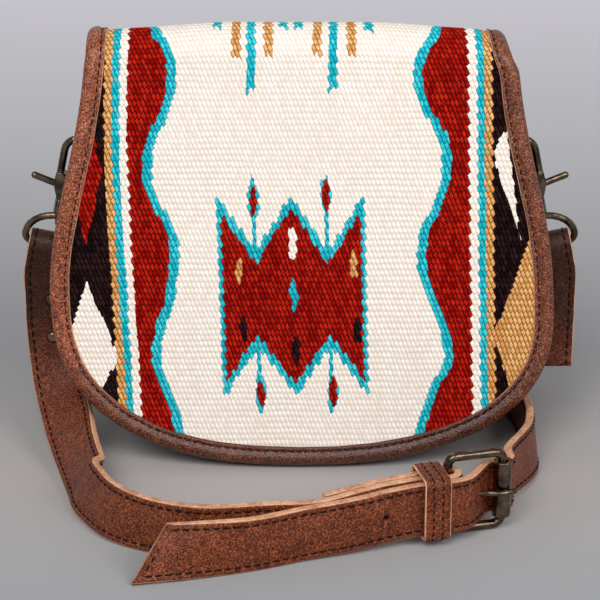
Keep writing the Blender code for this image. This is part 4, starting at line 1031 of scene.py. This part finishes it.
buckle_run = Vector((cos(BUCKLE_TURN), sin(BUCKLE_TURN), 0.0))
buckle_out = Vector((sin(BUCKLE_TURN), -cos(BUCKLE_TURN), 0.0))
heel = BUCKLE_AT - buckle_run * (BUCKLE_L / 2)


def beside(u, n, drop=0.0):
    """A point in the buckle's own plan: u along the strap from the heel bar, n toward the front."""
    return heel + buckle_run * (u * MM) + buckle_out * (n * MM) - Z * (STRAP_SINK + drop * MM)


def buckled(*rows):
    """Upright stations from rows of what `beside` takes."""
    return [(beside(*row), Z) for row in rows]


SHORT_PAST_BODY = (
    (23.1, -3.6, 42, 1, 0, 0), (20.7, -10.5, 27.5, 0.91, -0.05, 0.42), (15.1, -30, 19, 0.85, 0.06, 0.52),
    (9.1, -53, 14.4, 0.7, 0.05, 0.72), (4.6, -70, 13, 0.64, 0.07, 0.77), (2.3, -79, 12.9, 0.6, 0.12, 0.8),
    (2, -87.5, 13.5, 0.38, 0.28, 0.88), (-3.9, -101, 13.4, 0.27, 0.25, 0.93),
    (-11.5, -113, 13.4, 0.18, 0.22, 0.96), (-26.5, -125, 13.3, 0.06, 0.1, 0.99))
LONG_DROP = (
    (24.1, 3.6, 47, -1, 0, 0), (22.9, 12, 37.5, -1, 0, 0.05), (20.5, 28, 32, -0.97, 0.03, 0.2),
    (17, 47, 25.5, -0.9, 0, 0.42), (11, 68, 18.6, -0.72, -0.1, 0.68), (0.5, 87, 14.4, -0.38, -0.2, 0.9),
    (-16.5, 100, 13.4, -0.08, -0.08, 1))
LONG_PAST_BODY = (
    (-14.5, 45.5, 13.4), (2.5, 30, 13.4), (10.5, 11, 13.4), (13.3, -12, 13.4),
    (14.9, -30, 13.4, -0.06, 0, 1), (14.1, -46, 14, -0.16, 0, 0.99), (9.6, -60.5, 15.4, -0.2, 0, 0.98),
    (3.9, -73, 17, -0.15, 0, 0.99), (-0.8, -84, 18.4, -0.05, 0, 1))
TAIL = (
    (2, -137, 14), (-22, -146, 13.3), (-45, -151.3, 13.5, 0, 0.14, 0.99),
    (-66.7, -154.4, 13.2, -0.06, 0.34, 0.94))


def hanging_end(side, length):
    """The stations of the strap's fold round the hook's eye on that side, from its free end."""
    bar = hook_frame(side) @ Vector((0.0, 0.0, EYE_TOP - EYE_R))
    level = Vector((-side * cos(HOOK_TILT), 0.0, -sin(HOOK_TILT)))
    down = Vector((side * sin(HOOK_TILT), 0.0, -cos(HOOK_TILT)))
    end = bar + down * FOLD_TAPER - Y * (side * LAYER) - Z * length
    fold = fold_round(bar, down, -Z, Y * -side, level, X * -side, EYE_FOLD_R, FOLD_TAPER)
    return [(end, X * -side), *fold, (fold[-1][0] - Z * (9 * MM), X * -side)]


short_stations = [*hanging_end(-1.0, 48.0 * MM),
                  *route(SHORT_PAST_BODY, -1.0),
                  *route(((-46, -133.5, 13.3), (-14, -131.3, 13.5))),
                  *buckled((-60, LAYER / MM + 0.4, 5.2), (-44, LAYER / MM, 3.0))]
fall = (-buckle_run - Z * 0.07).normalized()
heel_round = fold_round(beside(0, 0), -buckle_run, fall, buckle_out, Z, Z, HEEL_FOLD_R, FOLD_TAPER)
short_stations += [*heel_round, *buckled((-44, -LAYER / MM, 3.0), (-58, -LAYER / MM, 5.0))]

LOOP_AT = Vector((-58, 83, 13.4)) * MM  # the middle of the bend behind the bag
LOOP_R = 25 * MM
loop_turns = [radians(90.0 + 22.5 * i) for i in range(9)]
behind = [LOOP_AT + (X * cos(a) + Y * sin(a)) * LOOP_R for a in loop_turns]
long_stations = [*hanging_end(1.0, 49.0 * MM),
                 *route(LONG_DROP, 1.0),
                 *route(((50, 107, 13.4), (0, 109, 13.4))),
                 *[(p, Z) for p in behind],
                 *route(((0, 57, 13.4), (52, 54.5, 13.4))),
                 *route(LONG_PAST_BODY, 1.0)]
past_roller = ROLLER_R + FIT + STRAP_T / 2
past_heel = HEEL_FOLD_R + STRAP_T + PLY_GAP
over_folds = (LAYER + STRAP_T) / MM
long_stations += [*buckled((32.0, -past_roller / MM - 0.8, 0.3), (BUCKLE_L / MM, -past_roller / MM),
                           (20.6, -5.4), (16.4, -1.2), (12, 3.6), (7, 7.9), (0, past_heel / MM),
                           (-8, over_folds + 2.3, 0.2), (-16, over_folds + 1.0, 0.9),
                           (-30, over_folds + 0.6, 2.2), (-45, over_folds + 0.9, 4.0)),
                  *route(TAIL)]


def rows_along(frames):
    """The four stitched lines of a strap."""
    return [[(c + a * (edge * STRAP_SEAM) + n * (face * STITCH_OUT), n * face) for c, a, n in frames]
            for edge in (-1.0, 1.0) for face in (-1.0, 1.0)]


section, edges = strap_section(STRAP_W, STRAP_T)
short_frames = turned_frames(short_stations, 2.0 * MM)
long_frames = turned_frames(long_stations, 2.0 * MM)
short_strap = sweep("strap_short_hide", short_frames, section, edges)
piece_of(short_strap, "bag", [HIDE, RAW], ["strap_short"])

# The tail's end is cut on the skew, longer along the bottom edge
while (long_frames[-1][0] - long_frames[-2][0]).length < TIP_SLANT * 1.3:
    del long_frames[-2]
tip, tip_across, tip_out = long_frames[-1]
tip_run = (tip - long_frames[-2][0]).normalized()
slant = tip_across - tip_run * (TIP_SLANT / (STRAP_W / 2))
long_mesh = sweep("strap_long_hide", [*long_frames[:-1], (tip, slant, tip_out)], section, edges)
long_strap = piece_of(long_mesh, "bag", [HIDE, RAW], ["strap_long"])
stitched("strap_short_stitches", rows_along(short_frames), "bag")

# The long strap's rows end before the slant, and a row along it joins them
tail_seams = rows_along(long_frames)
for row, edge in zip(tail_seams, (-1.0, -1.0, 1.0, 1.0)):
    last, out = row.pop()
    back = TIP_SEAM + edge * TIP_SLANT * STRAP_SEAM / (STRAP_W / 2)
    row.append((last - tip_run * back, out))
for face in (-1.0, 1.0):
    start = tip - tip_run * TIP_SEAM + tip_out * (face * STITCH_OUT)
    tail_seams.append([(start + slant * (a * MM), tip_out * face) for a in (-8, -4, 0, 4, 8)])
stitched("strap_long_stitches", tail_seams, "bag")

# The two free holes along the tail, past the one that the prong is in

PRONG_HOLE = beside(13.5, 2.2)
HOLE_PITCH = 26.0 * MM
HOLE_R = 1.3 * MM


def pierce(piece, centre, direction, radius):
    """A round hole right through the piece's mesh."""
    bpy.ops.mesh.primitive_cylinder_add(vertices=20, radius=radius, depth=4 * STRAP_T)
    drill = bpy.context.object
    drill.name = "drill"
    drill.matrix_world = Matrix.Translation(centre) @ direction.to_track_quat("Z", "Y").to_matrix().to_4x4()
    cut = piece.modifiers.new("hole", "BOOLEAN")
    cut.operation = "DIFFERENCE"
    cut.solver = "EXACT"
    cut.object = drill
    evaluated = piece.evaluated_get(bpy.context.evaluated_depsgraph_get())
    pierced = bpy.data.meshes.new_from_object(evaluated)
    piece.modifiers.remove(cut)
    piece.data = pierced
    bpy.data.objects.remove(drill)


past_prong = 0.0
due = [HOLE_PITCH, 2 * HOLE_PITCH]
for (here, _, _), (there, _, out) in zip(long_frames, long_frames[1:]):
    if past_prong or (there - PRONG_HOLE).length < 3.0 * MM:
        past_prong += (there - here).length
    if due and past_prong >= due[0]:
        pierce(long_strap, there, out, HOLE_R)
        del due[0]

# Keeper: a closed loop round the strap's layers, with rounded corners

KEEPER_W = 12.5 * MM
KEEPER_T = 1.8 * MM
KEEPER_SEAM = 2.2 * MM  # from its middle
CORNER_R = 1.3 * MM  # of its inner face
keeper_at = beside(-8.4, 0, 0.2)
back_n = -(HEEL_FOLD_R + STRAP_T / 2 + FIT)
front_n = past_heel + STRAP_T / 2 + FIT
rise = STRAP_W / 2 + 2.5 * FIT
turn_r = CORNER_R + KEEPER_T / 2
loop = []
corners = ((front_n, rise, 90.0), (front_n, -rise, 0.0), (back_n, -rise, -90.0), (back_n, rise, -180.0))
for n, z, start in corners:
    inner_n = n - copysign(CORNER_R, n)
    inner_z = z - copysign(CORNER_R, z)
    for i in range(7):
        a = radians(start - 90.0 * i / 6)
        out = buckle_out * (inner_n + turn_r * cos(a))
        loop.append(keeper_at + out + Z * (inner_z + turn_r * sin(a)))
dense = []
for here, there in zip(loop, loop[1:] + loop[:1]):
    steps = max(1, round((there - here).length / (2.0 * MM)))
    dense += [here + (there - here) * (i / steps) for i in range(steps)]
stations = []
for i, p in enumerate(dense):
    run = (dense[(i + 1) % len(dense)] - dense[i - 1]).normalized()
    stations.append((p, buckle_run, run.cross(buckle_run).normalized()))
section, edges = strap_section(KEEPER_W, KEEPER_T, 0.0, 0.1 * MM, 4.05 * MM)
keeper = sweep("keeper_hide", stations, section, edges, closed=True)
piece_of(keeper, "bag", [HIDE, RAW], ["strap_keeper"])
keeper_middle = keeper_at + buckle_out * ((front_n + back_n) / 2)
keeper_seams = []
for a in (-KEEPER_SEAM, KEEPER_SEAM):
    seam = []
    for p, across, out in stations:
        outward = out if out.dot(p - keeper_middle) > 0 else -out
        seam.append((p + across * a + outward * (0.85 * MM), outward))
    keeper_seams.append(seam + seam[:1])
stitched("keeper_stitches", keeper_seams, "bag", 3.8 * MM, 2.8 * MM, 0.38 * MM)

# Floor and lights


def spread(ramp, stops):
    """Sets a colour ramp's (position, colour) stops."""
    first, last = ramp.elements
    first.position, first.color = stops[0]
    last.position, last.color = stops[-1]
    for position, colour in stops[1:-1]:
        ramp.elements.new(position).color = colour


bpy.ops.mesh.primitive_plane_add(size=6.0)
floor = bpy.context.object
floor.name = "floor"

# Painted light: lighter toward the back and in a band just before the bag, from 0.6 m before the bag to 1 m
# behind it
g = Graph("floor", Roughness=0.9, Specular_IOR_Level=0.1)
ramp = g.node("ValToRGB", (g.axes()[1] + 0.6) / 1.6)
spread(ramp.color_ramp, ((0.0, linear(161, 162, 164)), (0.27, linear(160, 161, 164)),
                         (0.34, linear(175, 170, 169)), (0.44, linear(160, 160, 163)),
                         (0.6, linear(188, 188, 192)), (0.95, linear(246, 243, 251))))
floor.data.materials.append(g.finish(ramp.outputs[0]))

# A soft dome, brightest above the horizon
world = bpy.data.worlds.new("studio")
bpy.context.scene.world = world
world.use_nodes = True
sky = world.node_tree.nodes
upward = sky.new("ShaderNodeSeparateXYZ")
world.node_tree.links.new(sky.new("ShaderNodeTexCoord").outputs["Generated"], upward.inputs[0])
dome = sky.new("ShaderNodeValToRGB")
world.node_tree.links.new(upward.outputs[2], dome.inputs[0])
world.node_tree.links.new(dome.outputs[0], sky["Background"].inputs[0])
spread(dome.color_ramp, ((0.0, (0.34, 0.34, 0.36, 1.0)), (0.35, (0.8, 0.8, 0.8, 1.0)),
                         (1.0, (0.28, 0.28, 0.28, 1.0))))
sky["Background"].inputs[1].default_value = 0.8


def lamp(name, place, size, power):
    """A round soft box turned to the bag."""
    light = bpy.data.lights.new(name, "AREA")
    light.shape = "DISK"
    light.size = size
    light.energy = power
    aimed(name, light, Vector(place), LAMPS_LOOK)


LAMPS_LOOK = Vector((0.0, 0.0, 0.1))
lamp("key", (-0.4, -1.4, 1.5), size=1.1, power=22.5)
lamp("fill", (0.9, -1.1, 1.0), size=0.8, power=10.0)
